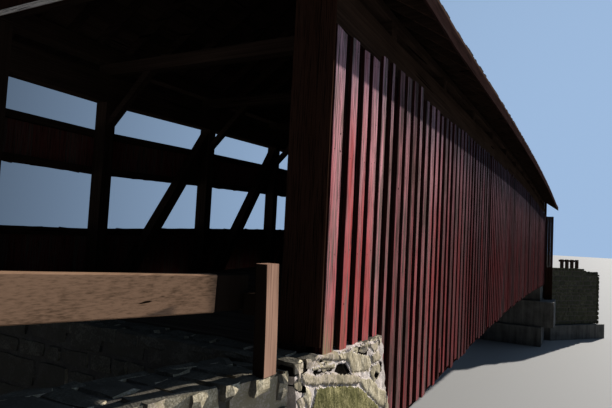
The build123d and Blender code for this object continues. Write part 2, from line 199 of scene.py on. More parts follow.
# %% [markdown]
# All the finishes here start in the same way. The patterns lie in the bridge's own metres, not on each
# piece, so neighbours could match where they meet. That is why each piece carries one random number, its
# tone, which shifts the pattern and makes the piece a little lighter or darker than the next.


# %% What every finish starts with
def new_material(name):
    """A material with its shader, object coordinates and each piece's own tone from 0 to 1."""
    made = bpy.data.materials.new(name)
    made.use_nodes = True
    tree = made.node_tree
    shader = tree.nodes["Principled BSDF"]
    start = Wire(tree, None)
    place = start.node("ShaderNodeTexCoord", {}, {}, out="Object")
    tone = start.node("ShaderNodeAttribute", {"attribute_name": "tone"}, {}, out="Fac")
    return made, shader, place, tone


def stretched_noise(place, tone, axis, fine, along, detail=4.0, roughness=0.6):
    """Noise drawn out along one axis, and moved on by each piece's tone so that no two match."""
    scale = [fine] * 3
    scale[axis] = along
    shift = tone.node("ShaderNodeCombineXYZ", {}, {0: tone * 37.0, 1: tone * 59.0, 2: tone * 23.0})
    moved = place.node("ShaderNodeVectorMath", {"operation": "ADD"}, {0: place, 1: shift})
    mapped = moved.node("ShaderNodeMapping", {}, {"Vector": moved, "Scale": scale})
    return mapped.node(
        "ShaderNodeTexNoise",
        {},
        {"Vector": mapped, "Scale": 1.0, "Detail": detail, "Roughness": roughness},
    )


def connect(shader, name, wire):
    """Feeds one socket of the shader."""
    wire.tree.links.new(wire.socket, shader.inputs[name])


def bump(shader, height, strength, distance):
    """Small relief that no mesh is fine enough for."""
    normal = height.node(
        "ShaderNodeBump", {}, {"Height": height, "Strength": strength, "Distance": distance}
    )
    connect(shader, "Normal", normal)


def matt(shader, roughness):
    """Old wood and stone don't shine."""
    shader.inputs["Roughness"].default_value = roughness
    shader.inputs["Specular IOR Level"].default_value = 0.0


# %% [markdown]
# A low sun rakes along the boarded wall from beyond the far portal. It leaves the near portal's boards in
# shade and draws the eave's shadow across the top of the wall. A lamp beside the bridge would throw shadows
# that spread, and the sun's are parallel, so it is a sun light, turned until the eave's shadow fell right.

# %% Sun
sun_turn = math.radians(72)  # from the wall's outward side towards the far end
sun_rise = math.radians(19.6)
sun_data = bpy.data.lights.new("sun", "SUN")
sun_data.energy = 7.4
sun_data.angle = math.radians(0.8)
sun_data.color = (1.0, 0.95, 0.88)
sun = bpy.data.objects.new("sun", sun_data)
bpy.context.collection.objects.link(sun)
toward_sun = np.array((
    math.cos(sun_rise) * math.cos(sun_turn),
    math.cos(sun_rise) * math.sin(sun_turn),
    math.sin(sun_rise),
))
sun_side = np.cross((0, 0, 1), toward_sun)
sun_side /= np.linalg.norm(sun_side)
sun_over = np.cross(toward_sun, sun_side)
sun.matrix_world = Matrix([[sun_side[i], sun_over[i], toward_sun[i]] for i in range(3)]).to_4x4()
print("towards the sun", toward_sun.round(3))

# %% [markdown]
# The sky lights what the sun doesn't reach. An even sky would fill the shadows too well. This one is bright
# on the sun's side and dim behind the camera, so that they stay deep, as in the photograph.

# %% Sky
bright_side = (0.30, 0.95, 0.0)
sky_least = 0.05
sky_more = 0.68
sky = bpy.data.worlds.new("pale_sky")
bpy.context.scene.world = sky
sky.use_nodes = True
background = sky.node_tree.nodes["Background"]
heading = Wire(sky.node_tree, None).node("ShaderNodeTexCoord", {}, {}, out="Generated")
sunward = heading.node(
    "ShaderNodeVectorMath", {"operation": "DOT_PRODUCT"}, {0: heading, 1: bright_side}, out="Value"
)
connect(background, "Strength", sky_least + sunward.band(-0.1, 1.0) * sky_more)
background.inputs["Color"].default_value = colour((0.47, 0.68, 1.0))
bpy.context.scene.view_settings.view_transform = "Standard"
print("sky from", sky_least, "to", sky_least + sky_more)

# %% [markdown]
# The bridge stands on a plain pale floor. It lies 2 mm under the feet of the masonry, so that the two never
# share a plane, and it reaches so far that its edge is not seen.

# %% Floor
floor_half = 400.0
floor_drop = 0.002
floor_corners = [(x * floor_half, y * floor_half, -floor_drop) for x, y in ((-1, -1), (1, -1), (1, 1), (-1, 1))]
floor_mesh = bpy.data.meshes.new("floor")
floor_mesh.from_pydata(floor_corners, [], [(0, 1, 2, 3)])
floor = bpy.data.objects.new("floor", floor_mesh)
bpy.context.collection.objects.link(floor)
floor_finish = bpy.data.materials.new("floor_pale")
floor_finish.use_nodes = True
floor_shader = floor_finish.node_tree.nodes["Principled BSDF"]
floor_shader.inputs["Base Color"].default_value = colour((0.30, 0.30, 0.296))
floor_shader.inputs["Roughness"].default_value = 0.9
floor_mesh.materials.append(floor_finish)
print("floor", 2 * floor_half, "m wide")

# %% [markdown]
# The boards were painted barn red long ago. Paint goes first where the grain stands up and where rain
# runs, so it fades to pink and then shows grey-brown wood in long streaks. Single streaks could be painted
# on a picture of a board, but there are hundreds of boards here, so both the fading and the bare streaks
# are noise drawn out along the board.


# %% Painted board finish
def painted_board(name, axis, paint, faded, bare, wear, far_darkening=0.0):
    """Red paint that fades and wears to bare wood in streaks along one axis.

    The far darkening darkens it along the bridge, from nothing at the near portal to its whole 7 m further on.
    With it some boards are darker than others, and they fade most towards the eave. Under the eave they
    are darker and bluish, which is painted shade. Near the portal their feet are stained olive by splashes.
    """
    made, shader, place, tone = new_material(name)
    streaks = stretched_noise(place, tone, axis, 38.0, 1.1)
    cloud = stretched_noise(place, tone, axis, 5.0, 0.8, detail=3.0)
    cracks = stretched_noise(place, tone, axis, 140.0, 2.5, detail=2.0)
    fading = cloud * 0.7 + streaks * 0.5 + tone * 0.25
    if far_darkening:
        along = place.node("ShaderNodeSeparateXYZ", {}, {0: place}, out="Y")
        height = place.node("ShaderNodeSeparateXYZ", {}, {0: place}, out="Z")
        fading = fading + height.band(road, road + 2.6) * 0.30 - 0.14
    worn = (streaks * 0.8 + cloud * 0.35 + tone * 0.10).band(0.96 - wear, 1.08 - wear)
    surface = worn.mix(fading.band(0.45, 0.95).mix(paint, faded), bare)
    crack = [0.25 * value for value in bare]
    surface = cracks.band(0.36, 0.50).mix(crack, surface)
    if far_darkening:
        for share, tint in (
            (tone.band(0.55, 1.0) * 0.8, (0.46, 0.36, 0.36)),
            # darker along the bridge, away from the near portal
            (along.band(-portal + 0.6, -portal + 7.5) * far_darkening, (0.19, 0.23, 0.25)),
            # painted shade of the eave: the heads of the boards darker and bluish
            (height.band(road + 2.0, road + 2.8) * 0.9, (0.60, 0.84, 0.96)),
        ):
            surface = share.mix(surface, tint, "MULTIPLY")
        splash = height.band(road + 0.5, road - 0.1) * along.band(-portal + 0.7, -portal + 0.1)
        surface = (splash * streaks.band(0.3, 0.6) * 0.8).mix(surface, (0.30, 0.25, 0.14))
    connect(shader, "Base Color", surface)
    matt(shader, 0.82)
    bump(shader, streaks * 0.6 + cracks * 0.4, 0.45, 0.004)
    return made


# %% [markdown]
# Each coat is given by three colours: fresh paint, faded paint and bare wood. The strips of the boarded wall
# are the brightest. Their sides take a far darker coat of the same red, which is painted shade. The boards
# behind are a near-black red, and the portal's boards are stained almost black.

# %% The coats of paint
strip_finish = painted_board(
    "river_strips_red", 2, (0.50, 0.098, 0.098), (0.78, 0.38, 0.42), (0.22, 0.145, 0.13), 0.38, far_darkening=1.0
)
# painted shade: the strips' sides, a far darker copy of the same red
strip_side_shade_finish = painted_board(
    "strip_sides_painted_shade", 2, (0.042, 0.013, 0.011), (0.07, 0.026, 0.024), (0.04, 0.028, 0.024), 0.3
)
dark_board_finish = painted_board(
    "back_boards_dark", 2, (0.016, 0.005, 0.0045), (0.024, 0.009, 0.008), (0.017, 0.012, 0.01), 0.3
)
inner_finish = painted_board(
    "open_wall_boards_dull", 2, (0.13, 0.035, 0.03), (0.19, 0.075, 0.065), (0.12, 0.09, 0.075), 0.35
)
portal_finish = painted_board(
    "portal_boards_dark_red", 2, (0.036, 0.016, 0.010), (0.044, 0.021, 0.014), (0.03, 0.018, 0.012), 0.2
)
fascia_finish = painted_board(
    "fascia_dark_red", 1, (0.022, 0.012, 0.011), (0.032, 0.019, 0.018), (0.026, 0.02, 0.018), 0.3
)
trim_finish = painted_board(
    "header_trim_pale", 0, (0.93, 0.84, 0.78), (0.96, 0.90, 0.84), (0.55, 0.46, 0.4), 0.2
)
print("finishes so far", len(bpy.data.materials))

# %% [markdown]
# The frame timbers are bare and old: dark brown, with grain along each piece and long drying cracks. Grain
# could be drawn with bands of a wave, but they look sawn from plastic, so it is fine noise drawn out a long
# way. It has to run along the timber, so there is one finish for each direction.


# %% Old timber finish
def old_timber(name, axis, light, dark, fine=45.0, checks=0.27, low=0.30, high=0.80):
    """Bare timber with grain and drying cracks along one axis, dark below the low and light above the high."""
    made, shader, place, tone = new_material(name)
    grain = stretched_noise(place, tone, axis, fine, 0.5, detail=3.0)
    cloud = stretched_noise(place, tone, axis, 3.0, 0.7, detail=3.0)
    cracks = stretched_noise(place, tone, axis, 22.0, 0.45, detail=1.0)
    body = (grain * 0.6 + cloud * 0.4 + tone * 0.2).band(low, high).mix(dark, light)
    split = cracks.band(checks, checks + 0.04)
    connect(shader, "Base Color", split.mix([0.2 * value for value in dark], body))
    matt(shader, 0.85)
    bump(shader, grain * 0.5 + split * 0.5, 0.4, 0.004)
    return made


timber_light = (0.075, 0.048, 0.036)
timber_dark = (0.024, 0.016, 0.012)
timber_x = old_timber("old_timber_across", 0, timber_light, timber_dark)
timber_y = old_timber("old_timber_along", 1, timber_light, timber_dark)
timber_z = old_timber("old_timber_upright", 2, timber_light, timber_dark)
far_rail_finish = old_timber("far_rail_dark", 2, (0.10, 0.07, 0.055), (0.04, 0.028, 0.022), 30.0)
plank_finish = old_timber("deck_planks_worn", 0, (0.17, 0.13, 0.10), (0.06, 0.045, 0.035))
rail_finish = old_timber(
    "guide_rail_sawn", 1, (0.34, 0.205, 0.13), (0.075, 0.046, 0.028), 90.0, 0.21, 0.42, 0.78
)
post_finish = old_timber(
    "guide_post_rough", 2, (0.41, 0.245, 0.175), (0.10, 0.055, 0.038), 60.0, 0.24, 0.44, 0.74
)
# painted shade: the guide posts' sides, and the rail's inner end and blocks
post_side_shade_finish = old_timber(
    "guide_post_sides_painted_shade", 2, (0.022, 0.015, 0.011), (0.012, 0.008, 0.006), 40.0, checks=0.2
)
shingle_finish = old_timber("shingles_grey", 0, (0.15, 0.125, 0.11), (0.05, 0.042, 0.038), 30.0)
print("finishes so far", len(bpy.data.materials))

# %% [markdown]
# The heavy frame is whole in the solids already: each of its timbers is one straight block, cut where it
# meets the next. It could be modelled again with worn edges, but it is seen only in shade and from a
# distance, so the solids stay, and each only gets its finish. So do the fascias and the ridge.


# %% Frame timbers
def finish_nodes(finish, names):
    """Gives solids that stay as they are their finish."""
    for name in names:
        nodes[name].data.materials.clear()
        nodes[name].data.materials.append(finish)
    print(finish.name, "on", len(names), "nodes")


timber_nodes = {
    timber_x: ["tie_beams", "knee_braces", "portal_lintels", "floor_beams", "rafters_right", "rafters_left"],
    timber_y: [
        "bottom_chord_right", "bottom_chord_left", "top_chord_right", "top_chord_left",
        "wall_plate_right", "wall_plate_left", "nailers_right", "nailers_left", "joists",
    ],
    timber_z: [
        "truss_posts_right", "truss_posts_left", "truss_braces_right", "truss_braces_left", "portal_posts",
    ],
    fascia_finish: ["fascia_right", "fascia_left"],
    shingle_finish: ["ridge_cap"],
}
for finish, names in timber_nodes.items():
    finish_nodes(finish, names)

# %% [markdown]
# Stone and mortar are speckled at several sizes at once. One noise would give blots or dust, so a broad and
# a fine one are added. Stones differ from each other more than within themselves, so the tone of each sets
# most of its colour. Faces turned to the sun take a pale finish as painted sunlight, and the rest a dark one.


# %% Masonry finishes
def speckled(name, light, middle, dark, size, depth):
    """A mineral surface: three colours by tone and noise, with a bump at two sizes."""
    made, shader, place, tone = new_material(name)
    broad = stretched_noise(place, tone, 2, size, size, detail=5.0, roughness=0.65)
    fine = stretched_noise(place, tone, 2, size * 9, size * 9, detail=3.0)
    base = (tone * 0.6 + broad * 0.7).band(0.35, 0.95).mix(dark, light)
    body = (broad * 0.5 + fine * 0.5).band(0.45, 0.62).mix(middle, base)
    connect(shader, "Base Color", body)
    matt(shader, 0.92)
    bump(shader, broad * 0.6 + fine * 0.4, 0.7, depth)
    return made


(
    stone_finish, corner_finish, smeared_finish, olive_finish, hole_shade_finish, green_finish, mortar_finish,
) = (
    speckled(*values) for values in (
        # dark rubble: faces away from the sun, which is painted shade, and tops
        ("rubble_stone_dark", (0.20, 0.185, 0.15), (0.11, 0.10, 0.08), (0.13, 0.115, 0.10), 6.0, 0.02),
        ("corner_stone_cream", (0.72, 0.64, 0.47), (0.36, 0.31, 0.21), (0.52, 0.43, 0.37), 7.0, 0.012),
        ("smeared_mortar_white", (0.90, 0.83, 0.78), (0.52, 0.45, 0.40), (0.76, 0.65, 0.60), 14.0, 0.010),
        ("corner_stone_olive", (0.36, 0.32, 0.16), (0.11, 0.105, 0.045), (0.25, 0.23, 0.11), 8.0, 0.012),
        # painted shade inside the holes
        ("hole_painted_shade", (0.010, 0.009, 0.007), (0.007, 0.006, 0.005), (0.006, 0.005, 0.004), 12.0, 0.01),
        ("rubble_stone_green", (0.16, 0.15, 0.11), (0.075, 0.08, 0.05), (0.06, 0.06, 0.055), 5.0, 0.03),
        ("lime_mortar", (0.17, 0.16, 0.14), (0.10, 0.09, 0.08), (0.13, 0.12, 0.10), 9.0, 0.02),
    )
)
print("finishes so far", len(bpy.data.materials))

# %% [markdown]
# The far abutment is of concrete, cast in steps between boards. It keeps faint level lines from those
# boards and dark runs below each ledge. The lines could be cut into the mesh, but they are only millimetres
# deep, so a bump from a saw wave of the height does. Nails and knots are small enough for the speckled
# finish of the stones, made far finer.


# %% Concrete and iron finishes
def stained_concrete(name):
    """Old concrete, with board marks at a level spacing of 0.14 and dark runs drawn out upright."""
    made, shader, place, tone = new_material(name)
    runs = stretched_noise(place, tone, 2, 4.0, 0.35, detail=5.0)
    cloud = stretched_noise(place, tone, 2, 1.2, 1.2, detail=4.0)
    grit = stretched_noise(place, tone, 2, 60.0, 60.0, detail=2.0)
    split = place.node("ShaderNodeSeparateXYZ", {}, {0: place}, out="Z")
    saw = split.maths("PINGPONG", split, 0.07) * 14.0
    stain = (runs * 0.6 + cloud * 0.5).band(0.35, 0.75)
    connect(shader, "Base Color", stain.mix((0.045, 0.043, 0.038), (0.17, 0.165, 0.15)))
    shader.inputs["Roughness"].default_value = 0.9
    bump(shader, grit * 0.4 + saw.band(0.0, 0.15) * 0.6, 0.5, 0.01)
    return made


concrete_finish = stained_concrete("stained_concrete")
grit = (60.0, 0.001)  # fine and shallow
iron_finish = speckled("rusty_iron", (0.10, 0.05, 0.03), (0.05, 0.03, 0.02), (0.03, 0.02, 0.018), *grit)
knot_finish = speckled("knot_dark", (0.03, 0.018, 0.014), (0.02, 0.01, 0.008), (0.015, 0.01, 0.008), *grit)
finish_nodes(concrete_finish, ["far_abutment", "far_footings"])

# %% [markdown]
# Everything made of boards comes from one surface: a chamfered section carried along the length of the
# board. A bevelled cube for each would do for a few, but here one function of arrays makes hundreds at once.
# Real boards are not straight, so the section drifts a little from side to side on its way, and both ends
# are cut slightly out of square.


# %% Boards
rng = np.random.default_rng(11)
SECTION = np.array([
    (-1, -0.8), (-0.94, -1), (0.94, -1), (1, -0.8), (1, 0.8), (0.94, 1), (-0.94, 1), (-1, 0.8),
])


def board_array(
    starts, ends, wide, thick, half_wide, half_thick, stations=4, drift=0.004, skew=0.01, head_slope=0.0
):
    """Vertices, faces and tones of many boards.

    Point (i, j, k) of board i is start + t (end - start) + u wide + v thick, where t goes from 0 to 1
    over the stations j and (u, v) is the point k of the section, scaled to the board's half width and
    half thickness. A sine of t with a random phase moves each station sideways by up to the drift, the
    skew tips the two end cuts, and the head slope is the pitch of a sloping head.
    """
    count = len(starts)
    points = len(SECTION)
    starts = np.asarray(starts, float)
    ends = np.asarray(ends, float)
    wide = np.broadcast_to(np.asarray(wide, float), (count, 3))
    thick = np.broadcast_to(np.asarray(thick, float), (count, 3))
    half_wide = np.broadcast_to(np.asarray(half_wide, float), (count,))
    half_thick = np.broadcast_to(np.asarray(half_thick, float), (count,))
    head_slope = np.broadcast_to(np.asarray(head_slope, float), (count,))
    t = np.linspace(0, 1, stations)
    phase = rng.uniform(0, 6.28, (count, 1))
    sway = drift * np.sin(phase + 5.0 * t[None, :])
    tip = rng.normal(0, skew, (count, 2))
    span = ends - starts
    length = np.linalg.norm(span, axis=1)
    along = span / length[:, None]
    u = SECTION[None, None, :, 0] * half_wide[:, None, None]
    v = SECTION[None, None, :, 1] * half_thick[:, None, None]
    run = t[None, :, None] * length[:, None, None] + np.zeros((count, stations, points))
    run[:, 0, :] += tip[:, :1] * u[:, 0, :] * 4
    run[:, -1, :] += tip[:, 1:] * u[:, 0, :] * 4
    run[:, -1, :] += head_slope[:, None] * u[:, 0, :]
    verts = (
        starts[:, None, None, :]
        + run[..., None] * along[:, None, None, :]
        + (u + sway[..., None])[..., None] * wide[:, None, None, :]
        + (v + np.zeros_like(run))[..., None] * thick[:, None, None, :]
    )
    index = np.arange(count * stations * points).reshape(count, stations, points)
    here = index[:, :-1, :]
    there = index[:, 1:, :]
    sides = np.stack([here, np.roll(here, -1, 2), np.roll(there, -1, 2), there], axis=-1).reshape(-1, 4)
    caps = np.concatenate([index[:, 0, ::-1], index[:, -1, :]])
    handed = np.einsum("ij,ij->i", np.cross(wide, thick), along)
    faces = sides.tolist() + caps.tolist()
    if handed[0] < 0:
        faces = [face[::-1] for face in faces]
    tones = np.repeat(rng.uniform(0, 1, count), stations * points)
    return verts.reshape(-1, 3), faces, tones


# %% [markdown]
# A wall of boards is one piece, not a hundred. So the vertices and faces of all its boards go into one
# mesh, and the tone of each board goes along as an attribute of its vertices.


# %% From boards to a piece
def face_normals(parts):
    """The normal of each face, from its first three corners."""
    normals = []
    for verts, faces, _ in parts:
        corners = verts[np.array([face[:3] for face in faces])]
        normal = np.cross(corners[:, 1] - corners[:, 0], corners[:, 2] - corners[:, 1])
        normals.append(normal / np.maximum(np.linalg.norm(normal, axis=1), 1e-12)[:, None])
    return np.concatenate(normals)


def add_piece(name, parts, finishes, replaced=(), which=None):
    """One object from several sets of vertices, faces and tones, kept inside the box of the solids.

    With several finishes, the array which gives the number of each face's own. The solids replaced are those
    that the piece stands for.
    """
    edge = 0.001
    offset = 0
    verts = []
    faces = []
    tones = []
    for part_verts, part_faces, part_tones in parts:
        verts.append(part_verts)
        faces += [[corner + offset for corner in face] for face in part_faces]
        tones.append(part_tones)
        offset += len(part_verts)
    low, high = (np.array(corner) for corner in cad_box)
    inside = np.clip(np.concatenate(verts), low + edge, high - edge)
    mesh = bpy.data.meshes.new(name)
    mesh.from_pydata(inside.tolist(), [], faces)
    tone = mesh.attributes.new("tone", "FLOAT", "POINT")
    tone.data.foreach_set("value", np.concatenate(tones).astype(np.float32))
    for finish in finishes if isinstance(finishes, list) else [finishes]:
        mesh.materials.append(finish)
    if which is not None:
        mesh.polygons.foreach_set("material_index", np.asarray(which, int))
    mesh.update()
    made = bpy.data.objects.new(name, mesh)
    bpy.context.collection.objects.link(made)
    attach(made, "root")
    if replaced:
        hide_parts(*replaced)
    print(name, "triangles", sum(len(face) - 2 for face in faces))


# %% [markdown]
# The bridge is cambered, so it would be tedious to bend each piece by itself. Everything above the
# abutments is laid out level instead, and then each of its points is raised by the camber at its place.


# %% Camber
def bent(part):
    """Each vertex raised by the camber at its own y: z = z + camber(y)."""
    verts, faces, tones = part
    verts = verts.copy()
    verts[:, 2] += camber(verts[:, 1])
    return verts, faces, tones


def upright_boards(x, y, low, high, width, thickness, across=(0, 1, 0), **shape):
    """A row of upright boards whose middles are at x and y, from low to high."""
    x = np.broadcast_to(np.asarray(x, float), np.shape(y if np.ndim(y) else x))
    y = np.broadcast_to(np.asarray(y, float), x.shape)
    low = np.broadcast_to(np.asarray(low, float), x.shape)
    high = np.broadcast_to(np.asarray(high, float), x.shape)
    out = np.cross(across, (0, 0, 1))
    return board_array(
        np.stack([x, y, low], 1), np.stack([x, y, high], 1), across, out, np.asarray(width) / 2,
        thickness / 2, **shape
    )


# %% [markdown]
# The boarded wall has two layers. Dark boards close it, and red strips stand proud of them, a foot from one
# to the next. Near the portal the strips' widths and heads can be read off the photograph, and further on
# they vary in the same way. Their heads and feet are ragged, and over the masonry they stop short, with
# its falling top. An array of one strip would be quicker to set up, but the wall would look stamped.

# %% Places of the strips
strip_pitch = 0.305
strip_depth = 0.042
first_strip = 0.055  # left edges, from the portal
second_strip = 0.372
second_shift = 0.052  # the second and third strip stand this much further on
near_strip_widths = [0.215, 0.162, 0.140, 0.185, 0.130, 0.095, 0.177, 0.170]
near_strip_heads = [2.89, 2.915, 2.90, 2.91, 3.02, 3.04, 3.045, 3.05, 3.07, 3.07]
masonry_reach = 1.4
masonry_drop = 0.055
masonry_face = -portal + 1.55
wall_top = wall_high.z - camber_rise
wall_foot = wall_low.z
strip_face = wall_high.x + strip_depth

strip_count = int((2 * portal - second_strip - 0.1) / strip_pitch) + 1
left_edges = np.concatenate([[first_strip], second_strip + strip_pitch * np.arange(strip_count)])
left_edges[1:3] += second_shift
strip_widths = rng.choice([0.11, 0.14, 0.155, 0.17, 0.185], len(left_edges))
strip_widths[: len(near_strip_widths)] = near_strip_widths
strip_middle = -portal + left_edges + strip_widths / 2
keep = strip_middle + strip_widths / 2 < portal - 0.02
strip_middle = strip_middle[keep]
strip_widths = strip_widths[keep]
ragged = rng.uniform(-0.05, 0.05, len(strip_middle))
masonry_fall = masonry_drop * np.clip((strip_middle + portal) / masonry_reach, 0, 1)
strip_foot = np.where(
    strip_middle < masonry_face, road - 0.05 - masonry_fall + 0.3 * ragged, wall_foot + 0.05 + ragged
)
strip_head = wall_top - 0.02 + rng.normal(0, 0.025, len(strip_middle))
strip_head[: len(near_strip_heads)] = road + np.array(near_strip_heads)
print("strips", len(strip_middle), "from", strip_widths.min(), "to", strip_widths.max(), "wide")

# %% [markdown]
# One strip has split up from its foot. Its whole part is an ordinary strip that ends at the top of the
# split, and its two halves go on from there, each a little narrower than half and set apart. The strips'
# sides are in shade, so they take a far darker finish of their own, painted shade, chosen by the faces'
# normals.

# %% Strips, one of them split
split = 14
split_top = road - 0.80
split_foot = strip_foot[split]
strip_foot[split] = split_top
strips = bent(upright_boards(
    wall_high.x + strip_depth / 2, strip_middle, strip_foot, strip_head, strip_widths, strip_depth, stations=9,
))
quarter = strip_widths[split] / 4
halves = bent(upright_boards(
    np.full(2, wall_high.x + strip_depth / 2),
    strip_middle[split] + np.array([-quarter - 0.006, quarter + 0.012]),
    [split_foot + 0.03, split_foot + 0.11],
    [split_top, split_top],
    2 * quarter - 0.008,
    strip_depth,
    stations=4,
))
# faces turned along the bridge take the painted shade finish
sides = abs(face_normals([strips, halves])[:, 1]) > 0.8
add_piece("river_wall_strips", [strips, halves], [strip_finish, strip_side_shade_finish], which=sides)

# %% [markdown]
# The boards behind are only seen as dark gaps between the strips, so they are plain and straight. They too
# stop at the masonry, and one of them has lost its foot there, so that the stones show.

# %% Back boards
back_pitch = 0.29
back_gap = 0.004
lost_foot = -portal + 1.47
back_rows = np.arange(-portal + back_pitch / 2, portal, back_pitch)
back_foot = np.where(back_rows < masonry_face, road - 0.04, wall_foot)
back_foot[np.argmin(abs(back_rows - lost_foot))] = road + 0.10
back_boards = bent(upright_boards(
    (wall_low.x + wall_high.x) / 2, back_rows, back_foot, wall_top - 0.02, back_pitch - back_gap,
    wall_high.x - wall_low.x, stations=3, drift=0.0, skew=0.002,
))
add_piece("river_wall_back_boards", [back_boards], dark_board_finish, ["siding_right"])

# %% [markdown]
# The open wall has boards up to a sill and a band of boards higher up, with daylight between. It could be
# the boarded wall again with two long holes cut through, but it really is two separate stretches of boards,
# so each is made like the boarded wall, boards behind and strips outside.

# %% Open wall
x_open = (open_low.x + open_high.x) / 2
x_open_strip = open_low.x - strip_depth / 2
open_rows = -np.flip(back_rows)
open_strip_rows = (open_rows[1:] + open_rows[:-1]) / 2
sill_top = open_high.z - camber_rise
band_foot = road + 1.825
band_head = road + 2.575
open_foot = np.where(open_rows < masonry_face, road - 0.04, open_low.z)
open_strip_foot = np.where(
    open_strip_rows < masonry_face, road - 0.03, open_low.z + rng.uniform(0, 0.06, len(open_strip_rows))
)
for stretch, foot, head, replaced in (
    ("lower", open_foot, sill_top, "siding_left_lower"), ("band", band_foot, band_head, "siding_left_band"),
):
    boards = bent(upright_boards(
        x_open, open_rows, foot, head, back_pitch - back_gap, open_high.x - open_low.x, stations=3, drift=0.001,
    ))
    add_piece(f"open_wall_{stretch}_boards", [boards], inner_finish, [replaced])
open_widths = rng.choice([0.11, 0.14, 0.155, 0.17], len(open_strip_rows))
lower_strips = bent(upright_boards(
    x_open_strip, open_strip_rows, open_strip_foot, sill_top - 0.01, open_widths, strip_depth, stations=5,
))
band_strips = bent(upright_boards(
    x_open_strip, open_strip_rows, band_foot + 0.01, band_head - 0.01, open_widths, strip_depth, stations=4,
))
add_piece("open_wall_strips", [lower_strips, band_strips], strip_finish)

# %% [markdown]
# The portal boards are upright too: three wide ones on each jamb, and narrower ones in the gable, which end
# under the roof. The gable could be one triangle with lines drawn on it, but its boards show by their
# edges, so each is made and its head is cut to the roof's pitch. A pale strip edges the opening.

# %% Portals
roof_angle = math.radians(34)
pitch = math.tan(roof_angle)
gable_low, gable_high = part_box("near_gable")
roof_at_wall = gable_high.z - half_width * pitch
jamb_reach = 0.418
jamb_shares = np.array((0, 0.36, 0.69, 1))  # where the jamb's boards meet, from its outer edge
jamb_x = half_width - jamb_reach * (jamb_shares[:-1] + jamb_shares[1:]) / 2
board_gap = 0.003
jamb_widths = jamb_reach * np.diff(jamb_shares) - board_gap
gable_count = 24
gable_pitch = 2 * half_width / gable_count
gable_x = -half_width + gable_pitch * (np.arange(gable_count) + 0.5)
gable_head = roof_at_wall + (half_width - abs(gable_x)) * pitch - 0.006
for end_name in ("near", "far"):
    low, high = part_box(f"{end_name}_jambs")
    y_boards = (low.y + high.y) / 2
    thickness = high.y - low.y
    jambs = upright_boards(
        np.concatenate([jamb_x, -jamb_x]), np.full(2 * len(jamb_x), y_boards), low.z, high.z,
        np.tile(jamb_widths, 2), thickness, across=(1, 0, 0), stations=7, drift=0.0015, skew=0.0,
    )
    add_piece(f"{end_name}_jamb_boards", [jambs], portal_finish, [f"{end_name}_jambs"])

    gable = upright_boards(
        gable_x, np.full(gable_count, y_boards), gable_low.z, gable_head, gable_pitch - board_gap, thickness,
        across=(1, 0, 0), stations=4, drift=0.0, skew=0.0, head_slope=-np.sign(gable_x) * pitch,
    )
    add_piece(f"{end_name}_gable_boards", [gable], portal_finish, [f"{end_name}_gable"])

    low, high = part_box(f"{end_name}_header_trim")
    middle = ((low.y + high.y) / 2, (low.z + high.z) / 2)
    trim = board_array(
        [(low.x, *middle)], [(high.x, *middle)], (0, 0, 1), (0, 1, 0), (high.z - low.z) / 2 - 0.003,
        (high.y - low.y) / 2, stations=14, drift=0.002, skew=0.0,
    )
    add_piece(f"{end_name}_header_strip", [trim], trim_finish, [f"{end_name}_header_trim"])

# %% [markdown]
# The far abutment steps back under the bridge's corners. Three short boards on each side close the gap, as
# the jambs above them do, so they are made in the same way.

# %% Far corners
corner_pitch = 0.152
low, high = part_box("far_corner_panels")
corner_x = high.x - corner_pitch * (np.arange(3) + 0.5)
corner = upright_boards(
    np.concatenate([corner_x, -corner_x]), np.full(2 * len(corner_x), (low.y + high.y) / 2), low.z,
    high.z - 0.01, corner_pitch - board_gap, high.y - low.y, across=(1, 0, 0), stations=5, drift=0.0015,
    skew=0.0,
)
add_piece("far_corner_boards", [corner], portal_finish, ["far_corner_panels"])

# %% [markdown]
# The deck is of thick planks laid across, from wall to wall. Wheels have worn each one a little differently.
# One slab with grooves would look the same from above, but at the portal the planks show their edges, so
# each is a board, up to 6 mm lower than the next.

# %% Deck
plank_pitch = 0.236
plank_rows = np.arange(-portal + plank_pitch / 2, portal - plank_pitch / 3, plank_pitch)
plank_z = road - plank_thickness / 2 - rng.uniform(0, 0.006, len(plank_rows))
planks = bent(board_array(
    np.stack([np.full_like(plank_rows, deck_low.x + 0.004), plank_rows, plank_z], 1),
    np.stack([np.full_like(plank_rows, deck_high.x - 0.004), plank_rows, plank_z], 1),
    (0, 1, 0),
    (0, 0, 1),
    plank_pitch / 2 - 0.004,
    plank_thickness / 2 - 0.003,
    stations=5,
    drift=0.001,
    skew=0.004,
))
add_piece("deck_cross_planks", [planks], plank_finish, ["deck"])

# %% [markdown]
# Both slopes are worked out from the top of the right one's eave, and the left one is its mirror image. A
# point on a slope is then a distance from the eave along it, a place along the bridge and a depth.

# %% Planes of the roof
roof_low, roof_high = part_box("roof_right")
roof_edge = 0.004
roof_thickness = 0.06
eave_top = roof_low.z + roof_thickness / math.cos(roof_angle)
slope = np.array((math.cos(roof_angle), 0.0, -math.sin(roof_angle)))
slope_normal = np.array((math.sin(roof_angle), 0.0, math.cos(roof_angle)))
print("eave", round(roof_high.x, 3), "out and", round(eave_top, 3), "up")

# %% [markdown]
# Shingles are thin wedges of wood in courses from the eave up. Each course covers most of the one below, and
# their butts are uneven, which gives the roof its rough edge. There are thousands of them, so each has only
# the four faces that show, and the places of all are worked out as one array.


